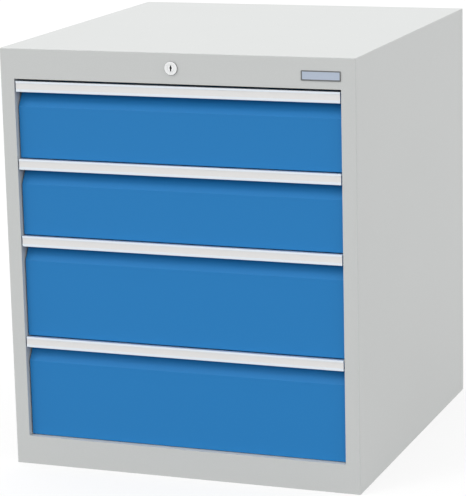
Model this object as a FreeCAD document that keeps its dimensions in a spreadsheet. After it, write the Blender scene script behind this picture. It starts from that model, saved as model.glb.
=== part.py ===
import FreeCAD, Part
import math
import os
import re
import Sketcher

# Drawer cabinet in folded sheet steel: a welded housing, four full-extension drawers on differential
# roller runners, and a central lock. Millimetres; +Z up, front towards -Y, origin at the middle of
# the footprint on the floor. Drawers are numbered from the top.

SIZES = [
    # alias, value, what it sets
    ("width", 705, "housing, overall width"),
    ("depth", 736, "housing, overall depth without the lock"),
    ("wall", 1.5, "housing sheet thickness"),
    ("header_height", 58, "front header rail, height"),
    ("base_height", 56.5, "front base rail, height"),
    ("head_gap", 4.5, "free gap between the header and the top grip"),
    ("bay_1", 150, "drawer 1 pitch height"),
    ("bay_2", 150, "drawer 2 pitch height"),
    ("bay_3", 200, "drawer 3 pitch height"),
    ("bay_4", 200, "drawer 4 pitch height"),
    ("stile_width", 28, "front stile, width"),
    ("stile_return", 25, "front stile, depth of the flange behind it"),
    ("edge_radius", 2.5, "outer radius of the stile bend"),
    ("top_radius", 1.2, "rounding of the top cover's rim"),
    ("rear_lap", 20, "width of the back panel's flange on the side"),
    ("seam", 0.4, "open seam between side and back panel"),
    ("skirt", 15, "down-turned skirt under the top cover"),
    ("header_lip", 12, "flange along the lower edge of the header"),
    ("frame_flange", 25, "horizontal flanges of header and base"),
    ("floor_skirt", 20, "down-turned flange of the housing floor"),
    ("upright_width", 30, "slotted upright, width"),
    ("upright_depth", 22, "slotted upright, depth between side panel and rail"),
    ("upright_sheet", 1.5, "slotted upright, sheet thickness"),
    ("slot_pitch", 25, "upright slots, pitch"),
    ("slot_length", 12, "upright slots, length"),
    ("slot_width", 4, "upright slots, width"),
    ("slot_margin", 14, "first slot above the upright's foot"),
    ("rail_setback", 46, "runner front end behind the housing front"),
    ("rail_rear_space", 40, "cabinet rail's rear end to the housing back"),
    ("rail_depth", 12, "runner channel, depth of the flanges"),
    ("rail_sheet", 1.5, "runner channel, sheet thickness"),
    ("drawer_rail_tail", 43, "drawer rail, length behind the box"),
    ("runner_height", 27, "runner axis above the bay floor"),
    ("carrier_height", 16, "intermediate bar, height"),
    ("carrier_thickness", 3, "intermediate bar, thickness"),
    ("carrier_inset", 2, "intermediate bar behind the cabinet rail's front end"),
    ("carrier_tail", 18, "intermediate bar's rear end before the cabinet rail's"),
    ("side_play", 0.5, "gap between intermediate bar and channel flanges"),
    ("wheel_radius", 11, "runner wheel, tread radius"),
    ("wheel_width", 7, "runner wheel, width"),
    ("wheel_play", 0.3, "gap between wheel tread and channel flange"),
    ("wheel_chamfer", 0.8, "runner wheel, chamfer of the tread edges"),
    ("wheel_inset", 16, "end wheels, distance from the bar's ends"),
    ("hub_gap", 0.5, "gap between bar and wheel"),
    ("journal_radius", 3, "wheel journal, radius"),
    ("journal_play", 0.05, "wheel journal, radial running clearance"),
    ("journal_head", 1, "wheel journal, head thickness"),
    ("journal_head_radius", 4.5, "wheel journal, head radius"),
    ("rivet_radius", 2.5, "rail rivet, shank radius"),
    ("rivet_play", 0.1, "rail rivet, radial clearance in its hole"),
    ("rivet_head_radius", 4.5, "rail rivet, head radius"),
    ("rivet_head", 1.2, "rail rivet, head thickness"),
    ("rivet_tail", 3, "rail rivet, length behind the upright's web"),
    ("box_rear_space", 103, "drawer box's back to the housing back"),
    ("box_sheet", 1, "drawer box, sheet thickness"),
    ("box_lift", 8, "drawer box bottom above the bay floor"),
    ("box_drop", 14, "drawer box rim below the bay top"),
    ("rim", 8, "drawer box, outward rim on sides and back"),
    ("divider_pitch", 50, "drawer wall slots, pitch"),
    ("divider_slot_width", 3, "drawer wall slots, width"),
    ("divider_slot_height", 40, "drawer wall slots, height"),
    ("divider_slot_drop", 12, "drawer wall slots, distance below the rim"),
    ("front_recess", 11, "drawer front behind the housing front"),
    ("front_side_gap", 2.5, "gap beside a drawer front"),
    ("front_gap", 1.5, "gap under a drawer front"),
    ("front_sheet", 1, "drawer front, sheet thickness"),
    ("front_flange", 13, "drawer front, depth of the side flanges"),
    ("front_hem", 15, "drawer front, upturned hem against the box"),
    ("front_bend", 1.5, "drawer front, inner radius of the visible bends"),
    ("finger_depth", 19, "finger recess, depth"),
    ("finger_top", 21, "finger recess, top of the slope below the bay top"),
    ("finger_bottom", 50, "finger recess, foot of the slope below the bay top"),
    ("grip_face", 0.8, "grip face behind the housing front"),
    ("grip_height", 21, "grip, height"),
    ("grip_wall", 2.2, "grip, thickness of the front web"),
    ("grip_hook", 8.2, "grip, depth of the top hook"),
    ("grip_lip", 1.2, "grip, thickness of the hook's two jaws"),
    ("grip_nose_depth", 6.2, "grip, depth of the rounded nose"),
    ("grip_nose_height", 4, "grip, height of the rounded nose"),
    ("grip_nose_radius", 1.9, "grip, rounding of the nose"),
    ("flange_play", 0.05, "clearance of the front's flange in the grip's hook"),
    ("label_margin", 3, "label channel, edge below the grip's top"),
    ("label_height", 13.5, "label channel, inner height"),
    ("label_depth", 0.7, "label channel, depth behind its lips"),
    ("label_lip", 0.5, "label channel, thickness of the retaining lips"),
    ("label_lip_reach", 1, "label channel, overlap of the retaining lips"),
    ("label_thickness", 0.5, "label strip, thickness"),
    ("label_play", 0.1, "label strip, clearance in its channel"),
    ("keeper_drop", 45, "lock keeper, top edge below the bay top"),
    ("keeper_height", 8, "lock keeper, height"),
    ("keeper_reach", 17.5, "lock keeper, reach beside the box"),
    ("keeper_sheet", 3, "lock keeper, thickness"),
    ("keeper_setback", 4, "lock keeper behind the box front"),
    ("lock_offset", -3.5, "lock axis, distance from the middle"),
    ("lock_drop", 28.5, "lock axis, distance below the top"),
    ("lock_flange_radius", 12.6, "lock body, radius of the visible flange"),
    ("lock_flange", 2.5, "lock body, thickness of the visible flange"),
    ("lock_barrel_radius", 9, "lock body, barrel radius"),
    ("lock_barrel", 22, "lock body, length behind the housing front"),
    ("lock_hole_play", 0.2, "lock body, radial clearance in the header"),
    ("rotor_radius", 7, "lock cylinder, radius"),
    ("rotor_play", 0.05, "lock cylinder, radial running clearance"),
    ("rotor_sink", 0.4, "lock cylinder face behind the flange face"),
    ("keyway_width", 2.4, "keyway, width"),
    ("keyway_height", 11, "keyway, height"),
    ("keyway_depth", 18, "keyway, depth"),
    ("keyway_bulge", 2.3, "keyway, radius of the round part"),
    ("keyway_bulge_rise", 0.6, "keyway, centre of the round part above the middle"),
    ("nut_flats", 25, "lock nut, width across the flats"),
    ("nut_thickness", 4, "lock nut, thickness"),
    ("cam_gap", 0.5, "gap between lock body and cam"),
    ("cam_radius", 12, "lock cam, throw of the pin"),
    ("cam_boss_radius", 8, "lock cam, radius round the lock axis"),
    ("cam_tip_radius", 5, "lock cam, radius round the pin"),
    ("cam_sheet", 2.5, "lock cam, thickness"),
    ("cam_angle", 45, "lock cam, angle either side of straight down"),
    ("pin_radius", 3, "cam pin and lock bar pin, radius"),
    ("pin_play", 0.7, "clearance of the pins in their slots"),
    ("lock_bar_sheet", 3, "lock bar, thickness"),
    ("lock_bar_width", 16, "lock bar, width"),
    ("lock_bar_gap", 5, "lock bar, gap to the side panel"),
    ("lock_bar_front", 30, "lock bar, front face behind the housing front"),
    ("lock_bar_tail", 45, "lock bar, length below its lowest hook"),
    ("hook_reach", 18, "lock hook, reach from the bar"),
    ("hook_height", 8, "lock hook, height"),
    ("hook_lift", 3, "lock hook above its keeper when unlocked"),
    ("lock_travel", 12, "lock bar, travel between unlocked and locked"),
    ("arm_reach", 18, "lock bar arm, reach from the bar"),
    ("arm_height", 24, "lock bar arm, height"),
    ("arm_pin_inset", 10, "lock bar arm, pin from the arm's end"),
    ("transfer_sheet", 2, "transfer bar, thickness"),
    ("transfer_gap", 0.5, "transfer bar, gap behind the lock bar"),
    ("transfer_height", 30, "transfer bar, height"),
    ("transfer_rise", 6, "transfer bar, top edge above the lock axis"),
    ("transfer_margin", 14, "transfer bar, length beyond its slots"),
    ("guide_play", 0.4, "guides, clearance round a bar"),
    ("guide_wall", 3, "guides, wall round a bar"),
    ("guide_length", 12, "guides, length along a bar"),
    ("guide_pitch", 300, "lock bar guides, distance between them"),
    ("plate_width", 75.5, "nameplate, width"),
    ("plate_height", 18.5, "nameplate, height"),
    ("plate_thickness", 1.4, "nameplate, thickness"),
    ("plate_border", 1.4, "nameplate, width of the raised border"),
    ("plate_sink", 0.6, "nameplate, depth inside the border"),
    ("plate_drop", 33.8, "nameplate centre below the top"),
    ("plate_side_gap", 28, "nameplate end from the housing side"),
    ("plate_corner", 1.6, "nameplate, corner radius"),
]

DRAWERS = ("1", "2", "3", "4")

# Places that several pieces share, as formulas in the sheet's aliases.
FRONT = "(-depth / 2)"
BACK = "(depth / 2)"
SIDE = "(width / 2)"
HEIGHT = "(base_height + bay_4 + bay_3 + bay_2 + bay_1 + head_gap + header_height)"
COVER_UNDERSIDE = f"({HEIGHT} - wall)"
HEADER_BOTTOM = f"({HEIGHT} - header_height)"
OPENING_SIDE = f"({SIDE} - stile_width)"
BAY_FLOOR = {
    "4": "(base_height)",
    "3": "(base_height + bay_4)",
    "2": "(base_height + bay_4 + bay_3)",
    "1": "(base_height + bay_4 + bay_3 + bay_2)",
}

# The lateral stack of a runner, from the side panel inwards to the drawer box.
UPRIGHT_FACE = f"({SIDE} - wall - upright_depth)"
CABINET_RAIL_EDGE = f"({UPRIGHT_FACE} - rail_depth)"
CARRIER_OUTER = f"({CABINET_RAIL_EDGE} - side_play)"
CARRIER_INNER = f"({CARRIER_OUTER} - carrier_thickness)"
DRAWER_RAIL_EDGE = f"({CARRIER_INNER} - side_play)"
BOX_SIDE = f"({DRAWER_RAIL_EDGE} - rail_depth)"
BOX_INNER_SIDE = f"({BOX_SIDE} - box_sheet)"
CHANNEL_HALF = "(wheel_radius + wheel_play)"
CHANNEL_OUTER_HALF = f"({CHANNEL_HALF} + rail_sheet)"

RAIL_FRONT = f"({FRONT} + rail_setback)"
RAIL_BACK = f"({BACK} - rail_rear_space)"
CARRIER_FRONT = f"({RAIL_FRONT} + carrier_inset)"
CARRIER_BACK = f"({RAIL_BACK} - carrier_tail)"
BOX_SETBACK = "(front_recess + finger_depth + front_sheet)"
BOX_FRONT = f"({FRONT} + {BOX_SETBACK})"
BOX_BACK = f"({BACK} - box_rear_space)"
FRONT_SIDE = f"({OPENING_SIDE} - front_side_gap)"

LOCK_HEIGHT = f"({HEIGHT} - lock_drop)"
LOCK_BAR_OUTER = f"({SIDE} - wall - lock_bar_gap)"
LOCK_BAR_INNER = f"({LOCK_BAR_OUTER} - lock_bar_width)"
LOCK_BAR_FRONT = f"({FRONT} + lock_bar_front)"
LOCK_BAR_BACK = f"({LOCK_BAR_FRONT} + lock_bar_sheet)"
TRANSFER_FRONT = f"({LOCK_BAR_BACK} + transfer_gap)"
TRANSFER_BACK = f"({TRANSFER_FRONT} + transfer_sheet)"
CAM_FRONT = f"({FRONT} + lock_barrel + cam_gap)"
CAM_BACK = f"({CAM_FRONT} + cam_sheet)"
CAM_SWING = "(2 * cam_radius * sin(cam_angle * 1 deg))"
CAM_PIN_SIDE = "(lock_offset + cam_radius * sin(cam_angle * 1 deg))"
ARM_PIN_SIDE = f"({LOCK_BAR_INNER} - arm_reach + arm_pin_inset)"

doc = FreeCAD.newDocument("drawer_cabinet")
cuts = []


def fill_sheet():
    """Write the driving dimensions, one row each: what it sets, its value under its alias."""
    sheet = doc.addObject("Spreadsheet::Sheet", "Sizes")
    for row, (alias, value, meaning) in enumerate(SIZES, start=1):
        sheet.set(f"A{row}", meaning)
        sheet.set(f"B{row}", str(value))
        sheet.setAlias(f"B{row}", alias)
    doc.recompute()


def in_sheet(formula):
    """Turn a formula in plain aliases into one that reads the sheet."""
    aliases = {alias for alias, _, _ in SIZES}
    return re.sub(
        r"\b[a-z][a-z_0-9]*\b",
        lambda word: f"Sizes.{word.group()}" if word.group() in aliases else word.group(),
        formula,
    )


def bind(thing, path, formula):
    thing.setExpression(path, in_sheet(formula))


def size_of(formula):
    """The value of a formula at the sheet's present sizes."""
    return float(doc.Sizes.evalExpression(in_sheet(formula)))


def new_body(label, x="0", y="0", z="0"):
    """An empty body whose place is bound to formulas."""
    body = doc.addObject("PartDesign::Body", label)
    body.Label = label
    for axis, formula in zip("xyz", (x, y, z)):
        bind(body, f"Placement.Base.{axis}", formula)
    return body


def new_sketch(body, name, plane, offset="0"):
    """A sketch on one of the body's origin planes, moved along the plane's normal."""
    sketch = body.newObject("Sketcher::SketchObject", name)
    support = next(item for item in body.Origin.OriginFeatures if item.Role == plane)
    sketch.AttachmentSupport = [(support, "")]
    sketch.MapMode = "FlatFace"
    bind(sketch, "AttachmentOffset.Base.z", offset)
    return sketch


def add_outline(sketch, corners):
    """A closed outline of straight sides through corners given as pairs of formulas."""
    count = len(corners)
    first = sketch.GeometryCount
    start = [
        FreeCAD.Vector(math.cos(2 * math.pi * k / count), math.sin(2 * math.pi * k / count), 0)
        for k in range(count)
    ]
    sides = [Part.LineSegment(start[k], start[(k + 1) % count]) for k in range(count)]
    sketch.addGeometry(sides, False)
    for k in range(count):
        nearby = first + (k + 1) % count
        sketch.addConstraint(Sketcher.Constraint("Coincident", first + k, 2, nearby, 1))
    for k, corner in enumerate(corners):
        for kind, value, formula in zip(("DistanceX", "DistanceY"), start[k], corner):
            number = sketch.addConstraint(Sketcher.Constraint(kind, -1, 1, first + k, 1, value))
            bind(sketch, f"Constraints[{number}]", formula)


def add_circle(sketch, x, y, radius):
    """A circle whose centre and radius are formulas."""
    number = sketch.addGeometry(Part.Circle(FreeCAD.Vector(1, 1, 0), FreeCAD.Vector(0, 0, 1), 1))
    for kind, formula in (("DistanceX", x), ("DistanceY", y)):
        place = sketch.addConstraint(Sketcher.Constraint(kind, -1, 1, number, 3, 1.0))
        bind(sketch, f"Constraints[{place}]", formula)
    size = sketch.addConstraint(Sketcher.Constraint("Radius", number, 1.0))
    bind(sketch, f"Constraints[{size}]", radius)


def rectangle(x0, x1, y0, y1):
    return [(x0, y0), (x1, y0), (x1, y1), (x0, y1)]


def add_pad(body, sketch, name, length, side_type="One side", backwards=False):
    pad = body.newObject("PartDesign::Pad", name)
    pad.Profile = sketch
    pad.SideType = side_type
    pad.Reversed = backwards
    bind(pad, "Length", length)
    return pad


def add_pocket(body, sketch, name, length, side_type="One side", backwards=False):
    before = body.Tip
    pocket = body.newObject("PartDesign::Pocket", name)
    pocket.Profile = sketch
    pocket.SideType = side_type
    pocket.Reversed = backwards
    bind(pocket, "Length", length)
    cuts.append((before, pocket))
    return pocket


def add_row(body, feature, name, direction, pitch, count):
    """Repeat a feature along a direction, a fixed pitch apart."""
    row = body.newObject("PartDesign::LinearPattern", name)
    row.Originals = [feature]
    row.Direction = direction
    row.Mode = "Spacing"
    bind(row, "Offset", pitch)
    bind(row, "Occurrences", count)
    body.Tip = row
    return row


def add_revolution(body, sketch, name):
    """Turn a sketch once round its own horizontal axis."""
    turned = body.newObject("PartDesign::Revolution", name)
    turned.Profile = sketch
    turned.ReferenceAxis = (sketch, ["H_Axis"])
    turned.Angle = 360
    return turned


def round_edges(body, name, radius, wanted):
    """Round the body's edges for which wanted(bounds of edge, bounds of body) is true."""
    doc.recompute()
    base = body.Tip
    whole = base.Shape.BoundBox
    names = [
        f"Edge{number}"
        for number, edge in enumerate(base.Shape.Edges, start=1)
        if wanted(edge.BoundBox, whole)
    ]
    rounding = body.newObject("PartDesign::Fillet", name)
    rounding.Base = (base, names)
    bind(rounding, "Radius", radius)
    return rounding


def near(first, second):
    return abs(first - second) < 0.001


def prism(label, plane, corners, length, side_type="One side", backwards=False, offset="0", place=()):
    """A body padded from one straight-sided outline."""
    body = new_body(label, *place)
    sketch = new_sketch(body, f"{label}_outline", plane, offset)
    add_outline(sketch, corners)
    add_pad(body, sketch, f"{label}_pad", length, side_type, backwards)
    return body


def mirrored(piece):
    """The piece's twin on the other side of the middle plane."""
    twin = doc.addObject("Part::Mirroring", f"{piece.Name}_twin")
    twin.Source = piece
    twin.Normal = (1, 0, 0)
    twin.Base = (0, 0, 0)
    return twin


def group(label, pieces):
    """One sub-part made of several separate solids."""
    compound = doc.addObject("Part::Compound", label)
    compound.Label = label
    compound.Links = pieces
    return compound


# ---------------------------------------------------------------- housing


def side_panel(label, sign):
    """Side wall folded into the front stile and its return, stepped in behind for the back panel."""

    def across(formula):
        return f"{sign} * {formula}"

    stile_inner = f"({OPENING_SIDE} + wall)"
    wall_inner = f"({SIDE} - wall)"
    step_inner = f"({SIDE} - 2 * wall)"
    step = f"({BACK} - rear_lap)"
    corners = [
        (across(SIDE), step),
        (across(SIDE), FRONT),
        (across(OPENING_SIDE), FRONT),
        (across(OPENING_SIDE), f"{FRONT} + stile_return"),
        (across(stile_inner), f"{FRONT} + stile_return"),
        (across(stile_inner), f"{FRONT} + wall"),
        (across(wall_inner), f"{FRONT} + wall"),
        (across(wall_inner), f"{step} - wall"),
        (across(step_inner), f"{step} - wall"),
        (across(step_inner), f"{BACK} - wall"),
        (across(wall_inner), f"{BACK} - wall"),
        (across(wall_inner), step),
    ]
    panel = prism(label, "XY_Plane", corners, COVER_UNDERSIDE)
    round_edges(
        panel,
        f"{label}_bend",
        "edge_radius",
        lambda edge, whole: near(edge.YMax, whole.YMin)
        and near(max(abs(edge.XMin), abs(edge.XMax)), max(abs(whole.XMin), abs(whole.XMax)))
        and edge.ZLength > 1
        and edge.XLength < 0.001,
    )
    return panel


def top_cover():
    """Flat top with a rounded rim and a skirt welded inside each side panel."""
    cover = new_body("top_cover")
    plate = new_sketch(cover, "top_plate", "XY_Plane", COVER_UNDERSIDE)
    add_outline(plate, rectangle(f"-{SIDE}", SIDE, FRONT, BACK))
    add_pad(cover, plate, "top_sheet", "wall")
    round_edges(
        cover,
        "top_corners",
        "edge_radius",
        lambda edge, whole: edge.ZLength > 0.5 and near(edge.YMin, whole.YMin),
    )
    round_edges(
        cover,
        "top_rim",
        "top_radius",
        lambda edge, whole: near(edge.ZMin, whole.ZMax),
    )
    skirts = new_sketch(cover, "top_skirts", "XY_Plane", COVER_UNDERSIDE)
    for sign in ("-", ""):
        add_outline(
            skirts,
            rectangle(
                f"{sign}({SIDE} - 2 * wall)",
                f"{sign}({SIDE} - wall)",
                f"{FRONT} + stile_return",
                f"{BACK} - rear_lap - wall",
            ),
        )
    add_pad(cover, skirts, "top_skirt_pad", "skirt", backwards=True)
    return cover


def back_panel():
    """Back sheet with flanges that lap the stepped rear edges of the side panels."""
    lap_front = f"({BACK} - rear_lap + seam)"
    corners = [
        (SIDE, lap_front),
        (SIDE, BACK),
        (f"-{SIDE}", BACK),
        (f"-{SIDE}", lap_front),
        (f"-({SIDE} - wall)", lap_front),
        (f"-({SIDE} - wall)", f"{BACK} - wall"),
        (f"({SIDE} - wall)", f"{BACK} - wall"),
        (f"({SIDE} - wall)", lap_front),
    ]
    panel = prism("back_panel", "XY_Plane", corners, COVER_UNDERSIDE)
    round_edges(
        panel,
        "back_bends",
        "edge_radius / 2",
        lambda edge, whole: edge.ZLength > 1
        and near(edge.YMin, whole.YMax)
        and edge.XLength < 0.001,
    )
    return panel


def bottom_panel():
    """Housing floor between the side walls, with a flange down each wall."""
    inner = f"({SIDE} - wall)"
    narrow = f"({inner} - wall)"
    front = f"({FRONT} + frame_flange)"
    step = f"({BACK} - rear_lap - wall)"
    back = f"({BACK} - wall)"
    panel = new_body("bottom_panel")
    sheet = new_sketch(panel, "floor_outline", "XY_Plane", "base_height - wall")
    add_outline(
        sheet,
        [
            (f"-{inner}", front),
            (inner, front),
            (inner, step),
            (narrow, step),
            (narrow, back),
            (f"-{narrow}", back),
            (f"-{narrow}", step),
            (f"-{inner}", step),
        ],
    )
    add_pad(panel, sheet, "floor_sheet", "wall")
    legs = new_sketch(panel, "floor_legs", "XY_Plane", "base_height - wall")
    for sign in ("-", ""):
        add_outline(legs, rectangle(f"{sign}{narrow}", f"{sign}{inner}", front, step))
    add_pad(panel, legs, "floor_leg_pad", "floor_skirt", backwards=True)
    return panel


def header_rail():
    """Front header between the stiles: face, upper flange, lower lip and the lock's hole."""
    face_back = f"({FRONT} + wall)"
    top = COVER_UNDERSIDE
    corners = [
        (FRONT, HEADER_BOTTOM),
        (f"{FRONT} + header_lip", HEADER_BOTTOM),
        (f"{FRONT} + header_lip", f"{HEADER_BOTTOM} + wall"),
        (face_back, f"{HEADER_BOTTOM} + wall"),
        (face_back, f"{top} - wall"),
        (f"{FRONT} + frame_flange", f"{top} - wall"),
        (f"{FRONT} + frame_flange", top),
        (FRONT, top),
    ]
    rail = prism("header_rail", "YZ_Plane", corners, f"2 * {OPENING_SIDE}", "Symmetric")
    hole = new_sketch(rail, "lock_hole_circle", "XZ_Plane", f"-{face_back}")
    add_circle(hole, "lock_offset", LOCK_HEIGHT, "lock_barrel_radius + lock_hole_play")
    add_pocket(rail, hole, "lock_hole", "2 * wall", backwards=True)
    return rail


def base_rail():
    """Front base between the stiles: face, foot flange and a flange level with the floor."""
    corners = [
        (FRONT, "0"),
        (f"{FRONT} + frame_flange", "0"),
        (f"{FRONT} + frame_flange", "wall"),
        (f"{FRONT} + wall", "wall"),
        (f"{FRONT} + wall", "base_height - wall"),
        (f"{FRONT} + frame_flange", "base_height - wall"),
        (f"{FRONT} + frame_flange", "base_height"),
        (FRONT, "base_height"),
    ]
    return prism("base_rail", "YZ_Plane", corners, f"2 * {OPENING_SIDE}", "Symmetric")


def uprights(label, front):
    """A pair of slotted channels on the side walls, drilled for the cabinet rails."""
    back = f"({front} + upright_width)"
    inner = UPRIGHT_FACE
    outer = f"({SIDE} - wall)"
    foot = "base_height"
    length = f"({COVER_UNDERSIDE} - skirt - base_height)"
    corners = [
        (inner, front),
        (outer, front),
        (outer, f"{front} + upright_sheet"),
        (f"{inner} + upright_sheet", f"{front} + upright_sheet"),
        (f"{inner} + upright_sheet", f"{back} - upright_sheet"),
        (outer, f"{back} - upright_sheet"),
        (outer, back),
        (inner, back),
    ]
    channel = prism(f"{label}_right", "XY_Plane", corners, length, offset=foot)
    slot = new_sketch(channel, f"{label}_slot", "YZ_Plane", inner)
    slot_back = f"({back} - 2 * upright_sheet)"
    slot_foot = f"({foot} + slot_margin)"
    add_outline(
        slot,
        rectangle(f"{slot_back} - slot_width", slot_back, slot_foot, f"{slot_foot} + slot_length"),
    )
    slot_cut = add_pocket(channel, slot, f"{label}_slot_cut", "2 * upright_sheet", backwards=True)
    add_row(
        channel,
        slot_cut,
        f"{label}_slots",
        (slot, ["V_Axis"]),
        "slot_pitch",
        f"floor(({length} - 2 * slot_margin) / slot_pitch)",
    )
    holes = new_sketch(channel, f"{label}_holes", "YZ_Plane", inner)
    for drawer in DRAWERS:
        add_circle(
            holes,
            rivet_row(front),
            f"{BAY_FLOOR[drawer]} + runner_height",
            "rivet_radius + rivet_play",
        )
    add_pocket(channel, holes, f"{label}_drilling", "2 * upright_sheet", backwards=True)
    return group(label, [channel, mirrored(channel)])


def rivet_row(upright_front):
    """Where the rivets sit along the rail, for an upright that starts at upright_front."""
    return f"({upright_front} + upright_width / 3)"


FRONT_UPRIGHT = RAIL_FRONT
REAR_UPRIGHT = f"({RAIL_BACK} - upright_width)"


# ---------------------------------------------------------------- runners


def channel_corners(web, edge):
    """Section of a runner channel in X and Z round its axis: web at one side, flanges to edge."""
    toward = f"({edge} - {web}) / abs({edge} - {web})"
    inside = f"({web} + rail_sheet * {toward})"
    return [
        (web, f"-{CHANNEL_OUTER_HALF}"),
        (edge, f"-{CHANNEL_OUTER_HALF}"),
        (edge, f"-{CHANNEL_HALF}"),
        (inside, f"-{CHANNEL_HALF}"),
        (inside, CHANNEL_HALF),
        (edge, CHANNEL_HALF),
        (edge, CHANNEL_OUTER_HALF),
        (web, CHANNEL_OUTER_HALF),
    ]


def cabinet_rails(drawer):
    """The pair of channels riveted to the uprights, open towards the drawer."""
    label = f"cabinet_rails_{drawer}"
    place = ("0", "0", f"{BAY_FLOOR[drawer]} + runner_height")
    corners = channel_corners(UPRIGHT_FACE, CABINET_RAIL_EDGE)
    rail = prism(
        f"{label}_right", "XZ_Plane", corners, f"{RAIL_BACK} - {RAIL_FRONT}",
        backwards=True, offset=f"-{RAIL_FRONT}", place=place,
    )
    holes = new_sketch(rail, f"{label}_holes", "YZ_Plane", UPRIGHT_FACE)
    for upright in (FRONT_UPRIGHT, REAR_UPRIGHT):
        add_circle(holes, rivet_row(upright), "0", "rivet_radius + rivet_play")
    add_pocket(rail, holes, f"{label}_drilling", "2 * rail_sheet")
    return group(label, [rail, mirrored(rail)])


def rail_rivets():
    """Rivets that hold each cabinet rail to its two uprights."""
    head_top = f"({UPRIGHT_FACE} - rail_sheet - rivet_head)"
    head_foot = f"({UPRIGHT_FACE} - rail_sheet)"
    tail = f"({UPRIGHT_FACE} + upright_sheet + rivet_tail)"
    corners = [
        (head_top, "0"),
        (head_top, "rivet_head_radius - rivet_head / 2"),
        (head_foot, "rivet_head_radius"),
        (head_foot, "rivet_radius"),
        (tail, "rivet_radius"),
        (tail, "0"),
    ]
    pieces = []
    for drawer in DRAWERS:
        for end, upright in (("front", FRONT_UPRIGHT), ("rear", REAR_UPRIGHT)):
            height = f"{BAY_FLOOR[drawer]} + runner_height"
            rivet = new_body(f"rivet_{drawer}_{end}", "0", rivet_row(upright), height)
            sketch = new_sketch(rivet, f"rivet_{drawer}_{end}_section", "XY_Plane")
            add_outline(sketch, corners)
            add_revolution(rivet, sketch, f"rivet_{drawer}_{end}_turned")
            pieces += [rivet, mirrored(rivet)]
    return group("rail_rivets", pieces)


def journal_corners(face, direction):
    """Half section of a headed journal that stands out from a bar's face."""
    shank_end = f"({face} + {direction} * (hub_gap + wheel_width + wheel_play))"
    head_end = f"({shank_end} + {direction} * journal_head)"
    return [
        (face, "0"),
        (face, "journal_radius"),
        (shank_end, "journal_radius"),
        (shank_end, "journal_head_radius"),
        (head_end, "journal_head_radius"),
        (head_end, "0"),
    ]


def wheel_corners(face, direction):
    """Half section of a wheel beside a bar's face, with chamfered tread edges."""
    start = f"({face} + {direction} * hub_gap)"
    end = f"({start} + {direction} * wheel_width)"
    bore = "journal_radius + journal_play"
    shoulder = "wheel_radius - wheel_chamfer"
    return [
        (start, bore),
        (start, shoulder),
        (f"{start} + {direction} * wheel_chamfer", "wheel_radius"),
        (f"{end} - {direction} * wheel_chamfer", "wheel_radius"),
        (end, shoulder),
        (end, bore),
    ]


# Each axle's place along the bar, and the bar faces that carry its wheels: the drawer's channel is
# inside the bar, the cabinet's outside.
INNER_FACE = (CARRIER_INNER, "-1")
OUTER_FACE = (CARRIER_OUTER, "1")
AXLES = {
    "front": (f"({CARRIER_FRONT} + wheel_inset)", [INNER_FACE]),
    "middle": (f"(({CARRIER_FRONT} + {CARRIER_BACK}) / 2)", [INNER_FACE, OUTER_FACE]),
    "rear": (f"({CARRIER_BACK} - wheel_inset)", [OUTER_FACE]),
}


def carriers(drawer):
    """The pair of intermediate bars with their headed journals."""
    label = f"runner_carriers_{drawer}"
    height = f"{BAY_FLOOR[drawer]} + runner_height"
    bar = prism(
        f"{label}_bar",
        "YZ_Plane",
        rectangle(
            CARRIER_FRONT,
            CARRIER_BACK,
            "-carrier_height / 2",
            "carrier_height / 2",
        ),
        "carrier_thickness",
        offset=CARRIER_INNER,
        place=("0", "0", height),
    )
    pieces = [bar]
    for axle, (place, faces) in AXLES.items():
        for number, (face, direction) in enumerate(faces):
            name = f"{label}_{axle}_journal_{number}"
            journal = new_body(name, "0", place, height)
            sketch = new_sketch(journal, f"{name}_section", "XY_Plane")
            add_outline(sketch, journal_corners(face, direction))
            add_revolution(journal, sketch, f"{name}_turned")
            pieces.append(journal)
    right = doc.addObject("Part::MultiFuse", f"{label}_right")
    right.Shapes = pieces
    return group(label, [right, mirrored(right)])


def wheels(drawer, axle):
    """The wheels that share one axle line, left and right."""
    label = f"{axle}_wheels_{drawer}"
    place, faces = AXLES[axle]
    height = f"{BAY_FLOOR[drawer]} + runner_height"
    pieces = []
    for number, (face, direction) in enumerate(faces):
        name = f"{label}_wheel_{number}"
        wheel = new_body(name, "0", place, height)
        sketch = new_sketch(wheel, f"{name}_section", "XY_Plane")
        add_outline(sketch, wheel_corners(face, direction))
        add_revolution(wheel, sketch, f"{name}_turned")
        pieces += [wheel, mirrored(wheel)]
    return group(label, pieces)


def drawer_rails(drawer):
    """The channels on the box sides, and the keeper that the lock's hook stops."""
    label = f"drawer_rails_{drawer}"
    place = ("0", "0", f"{BAY_FLOOR[drawer]} + runner_height")
    corners = channel_corners(BOX_SIDE, DRAWER_RAIL_EDGE)
    rail = prism(
        f"{label}_right", "XZ_Plane", corners, f"{BOX_BACK} + drawer_rail_tail - {BOX_FRONT}",
        backwards=True, offset=f"-{BOX_FRONT}", place=place,
    )
    keeper_top = f"({BAY_FLOOR[drawer]} + bay_{drawer} - keeper_drop)"
    keeper = prism(
        f"{label}_keeper",
        "XZ_Plane",
        rectangle(BOX_SIDE, f"{BOX_SIDE} + keeper_reach", f"{keeper_top} - keeper_height", keeper_top),
        "keeper_sheet",
        backwards=True,
        offset=f"-({BOX_FRONT} + keeper_setback)",
    )
    return group(label, [rail, mirrored(rail), keeper])


# ---------------------------------------------------------------- drawers


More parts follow.
